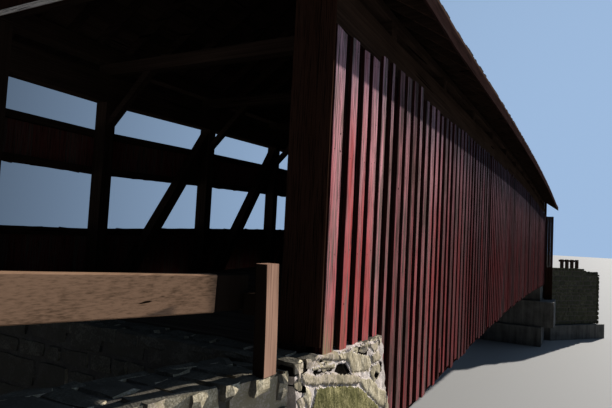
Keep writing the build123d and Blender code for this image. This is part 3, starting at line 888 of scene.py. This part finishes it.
# %% Shingles
def shingle_courses(side):
    """Vertices, faces and tones of the shingles of one slope.

    A shingle's butt is at the distance d = d0 + c e from the eave along the slope, with exposure e and
    course number c, and each is a wedge: it lies h below the slope's top plane, where h grows with the
    distance from the butt.
    """
    slope_length = roof_high.x / math.cos(roof_angle)
    exposure = 0.142
    overlap = 0.05
    side_gap = 0.0015
    verts = []
    tones = []
    for course in range(int((slope_length - 0.06) / exposure)):
        y = roof_low.y + roof_edge
        while y < roof_high.y - 0.05:
            width = min(rng.uniform(0.09, 0.21), roof_high.y - roof_edge - y)
            butt = 0.006 + course * exposure + rng.uniform(0, 0.016 if course else 0.03)
            top = min(butt + exposure + overlap, slope_length - roof_edge)
            lift = 0.003 + rng.uniform(0, 0.006)
            for d, h in ((butt, lift + 0.016), (butt, lift), (top, lift + 0.019)):
                for edge in (y + side_gap, y + width - side_gap):
                    verts.append((d, edge, h))
            tones.append(rng.uniform())
            y += width
    verts = np.array(verts)
    x = roof_high.x - verts[:, 0] * math.cos(roof_angle) - verts[:, 2] * math.sin(roof_angle)
    z = eave_top + verts[:, 0] * math.sin(roof_angle) - verts[:, 2] * math.cos(roof_angle)
    placed = np.stack([side * x, verts[:, 1], z], 1)
    faces = []
    for index in range(len(tones)):
        for corners in ((0, 1, 3, 2), (2, 3, 5, 4), (0, 2, 4), (1, 5, 3)):
            face = [corner + 6 * index for corner in corners]
            faces.append(face if side > 0 else face[::-1])
    return placed, faces, np.repeat(tones, 6)


# %% [markdown]
# Under the shingles lie roof boards, along the bridge, which is what one sees from below. A starter board
# closes the eave in front of them. They follow the camber, so each is cut into as many short lengths as it
# needs to bend with it.

# %% Roof
board_rows = 20
board_step = roof_high.x / slope[0] / board_rows
board_depth = 0.049
for side_name, side in (("right", 1), ("left", -1)):
    mirror = np.array((side, 1, 1))
    starts = []
    for row in range(board_rows):
        point = np.array((roof_high.x, 0, eave_top)) - slope * (board_step * (row + 0.5))
        starts.append(point - slope_normal * board_depth)
    starts = np.array(starts) * mirror
    ends = starts.copy()
    starts[:, 1] = roof_low.y + roof_edge
    ends[:, 1] = roof_high.y - roof_edge
    sheathing = bent(board_array(
        starts, ends, slope * mirror, slope_normal * mirror, board_step / 2 - 0.003, 0.0105, stations=43,
        drift=0.0, skew=0.0,
    ))
    starter_place = np.array((side * (roof_high.x - 0.014), 0, roof_low.z + 0.019))
    starter = bent(board_array(
        [starter_place + (0, roof_low.y + roof_edge, 0)], [starter_place + (0, roof_high.y - roof_edge, 0)],
        (1, 0, 0), (0, 0, 1), 0.012, 0.019, stations=43, drift=0.0, skew=0.0,
    ))
    add_piece(f"roof_boards_{side_name}", [sheathing, starter], timber_y, [f"roof_{side_name}"])
    add_piece(f"shingles_{side_name}", [bent(shingle_courses(side))], shingle_finish)

# %% [markdown]
# The masonry is rubble: each stone is as it was found, set in wide joints. Stones could be drawn on a flat
# wall as a pattern, but the low sun picks out their edges, so each is a mesh: a rounded block, pushed out of
# shape by a few slow waves. There are hundreds, so a block has only a few dozen faces.


# %% A stone
def rounded_block(cuts=3, power=8.0):
    """Vertices and faces of a cube grid whose points are divided by their power norm, so that it is round."""
    grid = np.linspace(-1, 1, cuts + 1)
    verts = {}
    faces = []
    for axis in range(3):
        for end in (-1, 1):
            for i in range(cuts):
                for j in range(cuts):
                    face = []
                    for a, b in ((i, j), (i + 1, j), (i + 1, j + 1), (i, j + 1)):
                        point = [0.0, 0.0, 0.0]
                        point[axis] = float(end)
                        point[(axis + 1) % 3] = grid[a]
                        point[(axis + 2) % 3] = grid[b]
                        face.append(verts.setdefault(tuple(point), len(verts)))
                    faces.append(face if end > 0 else face[::-1])
    points = np.array(list(verts))
    norm = (abs(points) ** power).sum(1) ** (1 / power)
    return points / norm[:, None], np.array(faces)


block_points, block_faces = rounded_block()


def stones(centres, halves, frames):
    """Vertices, faces and tones of many rounded blocks.

    A point is centre + frame (half * block * (1 + s) + chips), where s is a sum of three sines of the place
    on the block and the chips are random.
    """
    count = len(centres)
    points = np.broadcast_to(block_points, (count,) + block_points.shape)
    waves = rng.normal(0, 1.6, (count, 3, 3))
    phases = rng.uniform(0, 6.28, (count, 3, 1))
    swell = np.sin(np.einsum("nwa,npa->nwp", waves, points) + phases).sum(1) * 0.022
    pushed = points * (1 + swell[..., None]) * np.asarray(halves)[:, None, :]
    pushed += rng.normal(0, 0.005, pushed.shape)
    verts = np.asarray(centres)[:, None, :] + np.einsum("nab,npb->npa", frames, pushed)
    offsets = (np.arange(count) * len(block_points))[:, None, None]
    faces = (block_faces[None] + offsets).reshape(-1, 4)
    return verts.reshape(-1, 3), faces.tolist(), np.repeat(rng.uniform(0, 1, count), len(block_points))


# %% [markdown]
# The rubble is laid in rough courses. Stones scattered at random would overlap or leave gaps, so each wall
# face of the frame is read from its mesh, a level line is drawn through the middle of each course, and the
# course is filled with stones as far as the line stays on the face.


# %% Faces of a wall
def node_planes(name):
    """The flat faces of a node, each as its normal and its triangles."""
    mesh = nodes[name].data
    mesh.calc_loop_triangles()
    planes = {}
    for triangle in mesh.loop_triangles:
        corners = np.array([mesh.vertices[index].co for index in triangle.vertices])
        normal = np.cross(corners[1] - corners[0], corners[2] - corners[0])
        if np.linalg.norm(normal) < 1e-9:
            continue
        normal /= np.linalg.norm(normal)
        key = tuple(np.round(np.append(normal, normal @ corners[0]), 2) + 0.0)
        planes.setdefault(key, (normal, []))[1].append(corners)
    return list(planes.values())


def stretch_at(triangles, level):
    """The stretches (from, to) of flat triangles that a level line crosses."""
    stretches = []
    for corners in triangles:
        cuts = []
        for one, two in ((0, 1), (1, 2), (2, 0)):
            (s1, h1), (s2, h2) = corners[one], corners[two]
            if (h1 - level) * (h2 - level) < 0:
                cuts.append(s1 + (s2 - s1) * (level - h1) / (h2 - h1))
        if len(cuts) == 2:
            stretches.append((min(cuts), max(cuts)))
    merged = []
    for low, high in sorted(stretches):
        if merged and low < merged[-1][1] + 0.01:
            merged[-1][1] = max(merged[-1][1], high)
        else:
            merged.append([low, high])
    return merged


# %% Courses of rubble
def rubble(name, skip=lambda place: False, course=(0.17, 0.36), joint=0.022, inset=0.012):
    """Stones over all the upright and upward faces of a node, but none where skip says so."""
    centres = []
    halves = []
    frames = []
    for normal, triangles in node_planes(name):
        if normal[2] < -0.3:
            continue
        if abs(normal[2]) > 0.8:
            along = np.array((1.0, 0.0, 0.0))
        else:
            along = np.cross((0, 0, 1), normal)
            along /= np.linalg.norm(along)
        upward = np.cross(normal, along)
        flat = [np.stack([corners @ along, corners @ upward], 1) for corners in triangles]
        depth = triangles[0][0] @ normal
        low = min(corners[:, 1].min() for corners in flat)
        high = max(corners[:, 1].max() for corners in flat)
        frame_axes = np.stack([along, upward, normal], 1)
        while high - low > 0.05:
            height = min(rng.uniform(*course), high - low)
            if high - low - height < 0.12:
                height = high - low
            for start, end in stretch_at(flat, low + height * 0.5):
                while end - start > 0.04:
                    width = min(height * rng.uniform(0.9, 2.6), end - start)
                    if end - start - width < 0.12:
                        width = end - start
                    thick = rng.uniform(0.10, 0.14)
                    centre = (
                        along * (start + width / 2)
                        + upward * (low + height / 2)
                        + normal * (depth - inset - thick / 2 - rng.uniform(0, 0.018))
                    )
                    if not skip(centre):
                        centres.append(centre)
                        halves.append((
                            (width - joint) / 2 * rng.uniform(0.95, 1.0),
                            (height - joint) / 2 * rng.uniform(0.88, 1.0),
                            thick / 2,
                        ))
                        frames.append(frame_axes)
                    start += width
            low += height
    return stones(np.array(centres), np.array(halves), np.array(frames))


# %% [markdown]
# Mortar fills the joints and closes the wall behind the stones. It needs no shape of its own: the wall's
# body does, drawn in by a few centimetres. Scaling it down would move its far ends too much, so each corner
# moves by the same distance from all of its faces.


# %% Mortar
def drawn_in(name, inset):
    """The node's own body with every face moved inwards.

    Each vertex moves to the point p that solves n . p = n . v - inset for the planes n that meet there.
    """
    mesh = nodes[name].data
    mesh.calc_loop_triangles()
    verts = np.array([vertex.co for vertex in mesh.vertices])
    spots, where = np.unique(np.round(verts, 4), axis=0, return_inverse=True)
    where = where.reshape(-1)
    normals = [[] for _ in spots]
    faces = []
    for triangle in mesh.loop_triangles:
        corners = [int(where[index]) for index in triangle.vertices]
        if len(set(corners)) < 3:
            continue
        normal = np.cross(spots[corners[1]] - spots[corners[0]], spots[corners[2]] - spots[corners[0]])
        if np.linalg.norm(normal) < 1e-9:
            continue
        normal /= np.linalg.norm(normal)
        faces.append(corners)
        for corner in corners:
            if not any(np.allclose(normal, other, atol=0.01) for other in normals[corner]):
                normals[corner].append(normal)
    moved = spots.copy()
    for index, around in enumerate(normals):
        if around:
            planes = np.array(around)
            moved[index] += np.linalg.lstsq(planes, np.full(len(planes), -inset), rcond=0.01)[0]
    return moved, faces, np.full(len(moved), 0.5)


# %% [markdown]
# The corner of the near masonry stands right in front of the camera, so chance can't lay its stones. Each is
# an outline on the face, that stands a little out of pale smeared mortar, and where stones have gone are
# shallow holes, coloured near black as painted shade. To raise a stone, one has to know how far inside its
# outline each point of the face is. The mortar between is roughened by noise, which is made here on coarse
# grids of random numbers.


# %% Outlines and slow noise
def depth_inside(y, z, outline):
    """Distance of each point from a closed outline, positive inside and negative outside."""
    inside = np.zeros(y.shape, bool)
    nearest = np.full(y.shape, 1e9)
    for (y1, z1), (y2, z2) in zip(outline, outline[1:] + outline[:1]):
        span_y, span_z = y2 - y1, z2 - z1
        share = np.clip(((y - y1) * span_y + (z - z1) * span_z) / (span_y**2 + span_z**2), 0, 1)
        nearest = np.minimum(nearest, np.hypot(y - y1 - share * span_y, z - z1 - share * span_z))
        crossed = (z1 > z) != (z2 > z)
        inside ^= crossed & (y < y1 + (z - z1) * span_y / (span_z if span_z else 1e-9))
    return np.where(inside, nearest, -nearest)


def smooth_noise(shape, cell):
    """Random numbers on a coarse grid of square cells, filled in by straight lines, from -1 to 1."""
    rows, columns = shape
    coarse = rng.uniform(-1, 1, (rows // cell + 2, columns // cell + 2))
    down = np.arange(rows) / cell
    across = np.arange(columns) / cell
    i, j = down.astype(int), across.astype(int)
    s, t = (down - i)[:, None], (across - j)[None, :]
    top = coarse[i][:, j] * (1 - t) + coarse[i][:, j + 1] * t
    foot = coarse[i + 1][:, j] * (1 - t) + coarse[i + 1][:, j + 1] * t
    return top * (1 - s) + foot * s


# %% [markdown]
# The outlines were read off the photograph through the solved camera, as points on the wall's face: metres
# along it from the portal, and metres above the road, which is why nearly all heights are negative.

# %% Stones and holes of the near corner
STONES = {
    "upper slab": [
        (-0.14, -0.06), (-0.05, -0.045), (0.3, -0.045), (0.32, -0.09), (0.49, -0.17), (0.31, -0.14),
        (-0.02, -0.075),
    ],
    "thin slab": [(-0.08, -0.09), (0.09, -0.11), (0.17, -0.13), (0.03, -0.13), (-0.05, -0.115)],
    "left slab": [
        (-0.19, -0.115), (-0.05, -0.115), (0.15, -0.14), (0.23, -0.15), (0.22, -0.2), (0.09, -0.17),
        (-0.1, -0.145), (-0.18, -0.135),
    ],
    "long stone": [
        (-0.4, -0.1), (-0.32, -0.12), (-0.13, -0.19), (0.02, -0.19), (0.26, -0.24), (0.61, -0.325),
        (0.84, -0.4), (0.8, -0.44), (0.54, -0.4), (0.22, -0.33), (-0.07, -0.27), (-0.2, -0.25),
        (-0.33, -0.21), (-0.39, -0.16),
    ],
    "pale stone": [
        (0.3, -0.045), (0.62, -0.06), (0.68, -0.13), (1.1, -0.235), (1.16, -0.33), (1.05, -0.38),
        (0.63, -0.32), (0.52, -0.18), (0.33, -0.13),
    ],
    "lid": [(0.64, -0.04), (1.1, -0.04), (1.12, -0.11), (1.11, -0.15), (0.66, -0.08)],
    "peak": [
        (1.13, -0.03), (1.36, -0.03), (1.42, -0.1), (1.38, -0.21), (1.21, -0.22), (1.13, -0.15),
        (1.12, -0.07),
    ],
    "upper right": [(1.14, -0.235), (1.39, -0.225), (1.46, -0.32), (1.37, -0.34), (1.17, -0.325)],
    "middle right": [
        (1.09, -0.39), (1.16, -0.345), (1.34, -0.345), (1.42, -0.41), (1.34, -0.48), (1.2, -0.53),
        (1.1, -0.45),
    ],
    "low right": [
        (0.84, -0.41), (1.1, -0.46), (1.24, -0.55), (1.32, -0.62), (1.52, -0.68), (1.44, -0.85),
        (1.29, -0.79), (0.99, -0.59), (0.83, -0.47),
    ],
    "boulder": [
        (-0.15, -0.275), (0.2, -0.34), (0.54, -0.41), (0.83, -0.5), (0.99, -0.61), (1.25, -0.78),
        (1.32, -0.92), (0.9, -1.02), (0.2, -0.98), (-0.1, -0.8), (-0.26, -0.45),
    ],
    "left small": [(-0.34, -0.225), (-0.28, -0.24), (-0.23, -0.29), (-0.29, -0.42), (-0.39, -0.3)],
    "left low": [(-0.5, -0.48), (-0.32, -0.46), (-0.2, -0.6), (-0.14, -0.8), (-0.3, -0.92), (-0.5, -0.9)],
    "foot right": [(1.34, -0.88), (1.53, -0.72), (1.58, -0.74), (1.58, -1.04), (1.36, -1.04)],
}
HOLES = {
    # painted shade: the first outline is the shaded road beside the portal, made as a dark hole
    "painted shade corner": [(-0.6, 0.0), (-0.15, 0.0), (-0.16, -0.06), (-0.21, -0.1), (-0.3, -0.115), (-0.6, -0.12)],
    "slit": [
        (-0.13, -0.065), (-0.02, -0.078), (0.17, -0.105), (0.17, -0.13), (0.03, -0.105), (-0.09, -0.085),
    ],
    "lower slit": [
        (-0.18, -0.16), (-0.15, -0.14), (-0.09, -0.145), (-0.07, -0.165), (0.04, -0.17), (0.18, -0.18),
        (0.17, -0.205), (0.04, -0.19), (-0.06, -0.185), (-0.14, -0.175),
    ],
    "corner hole": [
        (0.24, -0.225), (0.29, -0.18), (0.35, -0.175), (0.49, -0.195), (0.61, -0.32), (0.26, -0.24),
    ],
    "hole under the lid": [(0.67, -0.085), (1.1, -0.155), (1.01, -0.21), (0.82, -0.165), (0.69, -0.12)],
    "right hole": [(1.17, -0.45), (1.24, -0.42), (1.31, -0.46), (1.23, -0.49)],
    "edge hole": [(1.39, -0.34), (1.47, -0.37), (1.45, -0.45), (1.38, -0.47)],
    "left hole": [
        (-0.5, -0.16), (-0.42, -0.15), (-0.35, -0.21), (-0.34, -0.27), (-0.41, -0.25), (-0.5, -0.22),
    ],
}
print("outlines", len(STONES), "of stones and", len(HOLES), "of holes")

# %% [markdown]
# The corner's face is one grid of small squares. It leans out towards its foot, its top falls slowly away
# from the portal, and its far edge is ragged where the wall has crumbled. Each grid square takes the finish
# of what it lies on: mortar, a stone, a hole or the olive boulder.


# %% Face of the near corner
def cheek_face():
    """Vertices, faces, tones and finish numbers of the near masonry's outer face beside the camera.

    The face lies at x = x0 + 0.1095 b - 0.022 + r at the depth b below the road. Within a stone whose
    outline is d away the relief is r = 0.014 (1 - exp(-d / 0.007)), within a hole it is
    r = -0.018 (1 - exp(-d / 0.006)), and noise at three sizes roughens it all. Its rim is folded back.
    """
    step = 0.0125
    along = np.arange(-0.5, 1.545, step)
    down = np.arange(-0.045, -1.03, -step)
    y, z = np.meshgrid(along, down)
    top = down[0] - 0.05 * np.clip(y / masonry_reach, 0, 1) + 0.012 * smooth_noise((1, len(along)), 9)
    z = top + (z - down[0]) * (down[-1] - top) / (down[-1] - down[0])
    y = y + smooth_noise(y.shape, 2) * 0.003
    ragged_edge = smooth_noise((len(down), 1), 4) * 0.022 + smooth_noise((len(down), 1), 2) * 0.010
    y = y + ragged_edge * np.clip((y - 1.38) / 0.16, 0, 1)
    relief = 0.007 * smooth_noise(y.shape, 11) + 0.005 * smooth_noise(y.shape, 5)
    relief += 0.002 * smooth_noise(y.shape, 2)
    edge = 0.008 * smooth_noise(y.shape, 3) + 0.004 * smooth_noise(y.shape, 1)
    tones = np.full(y.shape, 0.5)
    mortar, stone, hole, boulder = range(4)
    kind = np.full(y.shape, mortar)
    for name, outline in STONES.items():
        depth = depth_inside(y, z, outline) + edge
        tilt = rng.uniform(-0.02, 0.02, 2)
        inside = (depth > 0) & ((z < top - 0.025 - edge) | (y < 0.33))
        rise = 0.014 * (1 - np.exp(-depth / 0.007))
        rise += tilt[0] * (y - outline[0][0]) + tilt[1] * (z - outline[0][1])
        relief = np.where(inside, relief + rise, relief)
        tones = np.where(inside, rng.uniform(), tones)
        kind = np.where(inside, boulder if name == "boulder" else stone, kind)
    for outline in HOLES.values():
        depth = depth_inside(y, z, outline) + edge * 0.5
        sunk = np.maximum(relief, -0.003) - 0.018 * (1 - np.exp(-depth / 0.006))
        relief = np.where(depth > 0, sunk, relief)
        kind = np.where(depth > 0, hole, kind)
    relief[:, :1] = relief[:, -1:] = -0.14
    relief[:1] = relief[-1:] = -0.12
    x = half_width + 0.03 - 0.1095 * z - 0.022 + relief
    verts = np.stack([x, y - portal, z + road], -1).reshape(-1, 3)
    rows, columns = y.shape
    index = np.arange(rows * columns).reshape(rows, columns)
    faces = np.stack([index[1:, :-1], index[1:, 1:], index[:-1, 1:], index[:-1, :-1]], -1).reshape(-1, 4)
    return (verts, faces.tolist(), tones.reshape(-1)), kind[:-1, :-1].reshape(-1)


# %% [markdown]
# The rest of the near abutment is laid by chance, except where the shaped face stands and under the
# timbers' seat, where stones would stick up through the floor. The faces that look outwards or to the far
# end, towards the sun, take the cream finish of the corner as painted sunlight; the rest are dark.


# %% Near abutment
def by_the_camera(place):
    """Whether a stone would stand in front of the shaped face."""
    return place[0] > half_width - 0.05 and place[2] > road - 0.93


def in_the_seat(place):
    """Whether a stone would stand among the timbers that rest on the abutment."""
    return abs(place[0]) < 2.66 and -portal - 0.1 < place[1] < masonry_face and place[2] > 1.0


def sunward_painted_pale(part):
    """For each face, whether it looks outwards or to the far end, towards the sun, to be painted pale."""
    verts, faces, _ = part
    normals = face_normals([part])
    side = np.sign(verts[np.array([face[0] for face in faces])][:, 0])
    return (normals[:, 0] * side + normals[:, 1] > 0.45) & (abs(normals[:, 2]) < 0.6)


mortar_inset = 0.045
core = drawn_in("near_abutment", mortar_inset)
add_piece("near_abutment_mortar", [core], mortar_finish, ["near_abutment"])
general = rubble("near_abutment", skip=lambda place: by_the_camera(place) or in_the_seat(place))
# painted sunlight: faces towards the sun take the pale finish
add_piece(
    "near_abutment_stones", [general], [stone_finish, corner_finish], which=sunward_painted_pale(general)
)
cheek, cheek_kinds = cheek_face()
# the holes take the painted shade finish
cheek_finishes = [smeared_finish, corner_finish, hole_shade_finish, olive_finish]
add_piece("near_corner_masonry", [cheek], cheek_finishes, which=cheek_kinds)

# %% [markdown]
# The wings are the low walls that spread from each abutment. They are rubble as well, so the same courses
# serve. The near ones are painted pale on their faces towards the sun, like the abutment, and the far ones
# are dark and greenish with damp.

# %% Wings
for wing in ("near_wing_right", "near_wing_left", "far_wing_right", "far_wing_left"):
    core = drawn_in(wing, mortar_inset)
    add_piece(f"{wing}_mortar", [core], mortar_finish, [wing])
    part = rubble(wing)
    if "near" in wing:
        # painted sunlight: faces towards the sun take the pale finish
        add_piece(f"{wing}_stones", [part], [stone_finish, corner_finish], which=sunward_painted_pale(part))
    else:
        add_piece(f"{wing}_stones", [part], green_finish)

# %% [markdown]
# The guide rails are heavy rough-sawn planks on two posts a side. On the way out from the portal they turn in
# and climb a little. The saw left fine lines and the weather long checks, and neither their edges nor their
# faces are quite straight, so they are boards like the rest, with many stations to drift between. The far
# ones are small in the view, so their solids stay.

# %% Places of the guide timbers
rail_lean = math.radians(11)
rail_climb = 0.036
rail_top = road + 0.653  # beside the first post
rail_length = 2.50
rail_half_height = 0.137
rail_face = np.array((2.404, -16.715, rail_top + 0.0135 - rail_half_height))  # where the lit plank ends
inner_reach = 0.36  # how far the darker piece goes on behind the rail
inner_setback = 0.07
post_above_rail = 0.10
post_below_road = 0.075
near_post_places = (  # foot x and y, head x and y, and the distance along the rail from the first post
    (2.647, -16.384, 2.629, -16.394, 0), (2.08, -19.13, 2.08, -19.13, 2.8),
)
lean_along = np.array((math.sin(rail_lean), math.cos(rail_lean), 0.0))
lean_out = np.array((math.cos(rail_lean), -math.sin(rail_lean), 0.0))
print("rail top", round(rail_top, 3), "face", rail_face.round(3))


# %% Guide rails
def guide_timbers(side):
    """The two posts, the rail, and the dark blocks and inner end of one near side, as sets of boards.

    The rail's outer face runs along the lean, and its top climbs on the way out. It stops short of the
    first post, and a darker piece behind it goes on to the post. That piece and the blocks are near black,
    which is painted shade.
    """
    mirror = np.array((side, 1, 1))
    posts = []
    dark = []
    for foot_x, foot_y, head_x, head_y, distance in near_post_places:
        foot = np.array((foot_x, foot_y, road - post_below_road)) * mirror
        head = np.array((head_x, head_y, rail_top + post_above_rail + distance * rail_climb)) * mirror
        posts.append(board_array(
            [foot], [head], (0, 1, 0), mirror * (1, 0, 0), 0.09, 0.05, stations=10, drift=0.0025, skew=0.002,
        ))
        block = np.array((head_x - 0.11, head_y + 0.015, rail_top - 0.29 + distance * rail_climb))
        dark.append(board_array(
            [block * mirror], [(block + (0, 0, 0.16)) * mirror], (0, 1, 0), mirror * (1, 0, 0), 0.07, 0.06,
            stations=3, drift=0.0, skew=0.0,
        ))
    inner = rail_face + lean_along * inner_reach - lean_out * inner_setback
    inner = (inner - (0, 0, inner_reach * rail_climb)) * mirror
    start = (rail_face - lean_out * 0.05) * mirror
    outer = rail_face - lean_along * rail_length - lean_out * 0.05
    end = (outer + (0, 0, rail_length * rail_climb)) * mirror
    along = (end - start) / np.linalg.norm(end - start)
    thick = lean_out * mirror
    upward = np.cross(along, thick)
    rail = board_array(
        [start], [end], upward, thick, rail_half_height, 0.049, stations=34, drift=0.002, skew=0.0
    )
    dark.append(board_array(
        [inner], [start - (lean_out * 0.02 + lean_along * 0.05) * mirror], upward, thick,
        rail_half_height - 0.003, 0.03, stations=5, drift=0.001, skew=0.0,
    ))
    return posts, rail, dark


near_posts = []
near_rails = []
shaded_dark_ends = []
for side in (1, -1):
    posts, rail, dark = guide_timbers(side)
    near_posts += posts
    near_rails.append(rail)
    shaded_dark_ends += dark
# post faces turned along the bridge take the painted shade finish
sides = abs(face_normals(near_posts)[:, 1]) > 0.8
post_finishes = [post_finish, post_side_shade_finish]
add_piece("near_rail_posts", near_posts, post_finishes, ["near_guide_posts"], which=sides)
add_piece("near_rail_planks", near_rails, rail_finish, ["near_guide_rails"])
add_piece("near_rail_inner_ends", shaded_dark_ends, post_side_shade_finish)
finish_nodes(far_rail_finish, ["far_guide_rails", "far_guide_posts"])

# %% [markdown]
# Nails fix the strips wherever a nailer runs behind, two to a strip. They are too many and too regular to
# paint on with noise, so each is a small stud, turned outwards. Knots show as small dark spots, and the few
# that can be seen in the photograph are studs too, almost flat.


# %% Nails and knots
def discs(places, radius, thick, points=6):
    """Flat studs on the boarded wall.

    Each has a ring of radius r at its place, a ring of radius 0.8 r that stands out by its thickness, and a
    face that closes it.
    """
    angles = np.linspace(0, 2 * math.pi, points, endpoint=False)
    ring = np.stack([np.zeros(points), np.cos(angles), np.sin(angles)], 1)
    radius = np.broadcast_to(np.asarray(radius, float), (len(places),))
    verts = []
    faces = []
    for index, place in enumerate(places):
        base = 2 * points * index
        verts.append(place + ring * radius[index])
        verts.append(place + ring * radius[index] * 0.8 + np.array((thick, 0, 0)))
        faces.append([base + points + step for step in range(points)])
        for step in range(points):
            following = (step + 1) % points
            faces.append([base + step, base + following, base + points + following, base + points + step])
    return np.concatenate(verts), faces, np.repeat(rng.uniform(0, 1, len(places)), 2 * points)


nail_heights = (-0.81, 0.84, 1.765, 2.83)  # of the nailers, above the road
nail_places = []
for height in nail_heights:
    for middle, width in zip(strip_middle, strip_widths):
        if height < 0 and middle < masonry_face:
            continue
        for share in (-0.25, 0.25):
            along = middle + share * width + rng.uniform(-0.01, 0.01)
            nail_places.append((strip_face, along, road + height + rng.uniform(-0.03, 0.03)))
nail_heads = bent(discs(np.array(nail_places), 0.006, 0.0012))
add_piece("river_wall_nails", [nail_heads], iron_finish)

knots = np.array([  # distance from the portal, height above the road, radius
    (1.975, 1.60, 0.014), (0.219, 1.93, 0.011), (0.237, 1.77, 0.012),
    (2.92, 0.62, 0.012), (0.47, 0.35, 0.009), (1.12, 2.2, 0.010),
])
knot_places = np.stack([np.full(len(knots), strip_face), knots[:, 0] - portal, knots[:, 1] + road], 1)
knot_discs = bent(discs(knot_places, knots[:, 2], 0.0008, 8))
add_piece("river_wall_knots", [knot_discs], knot_finish)
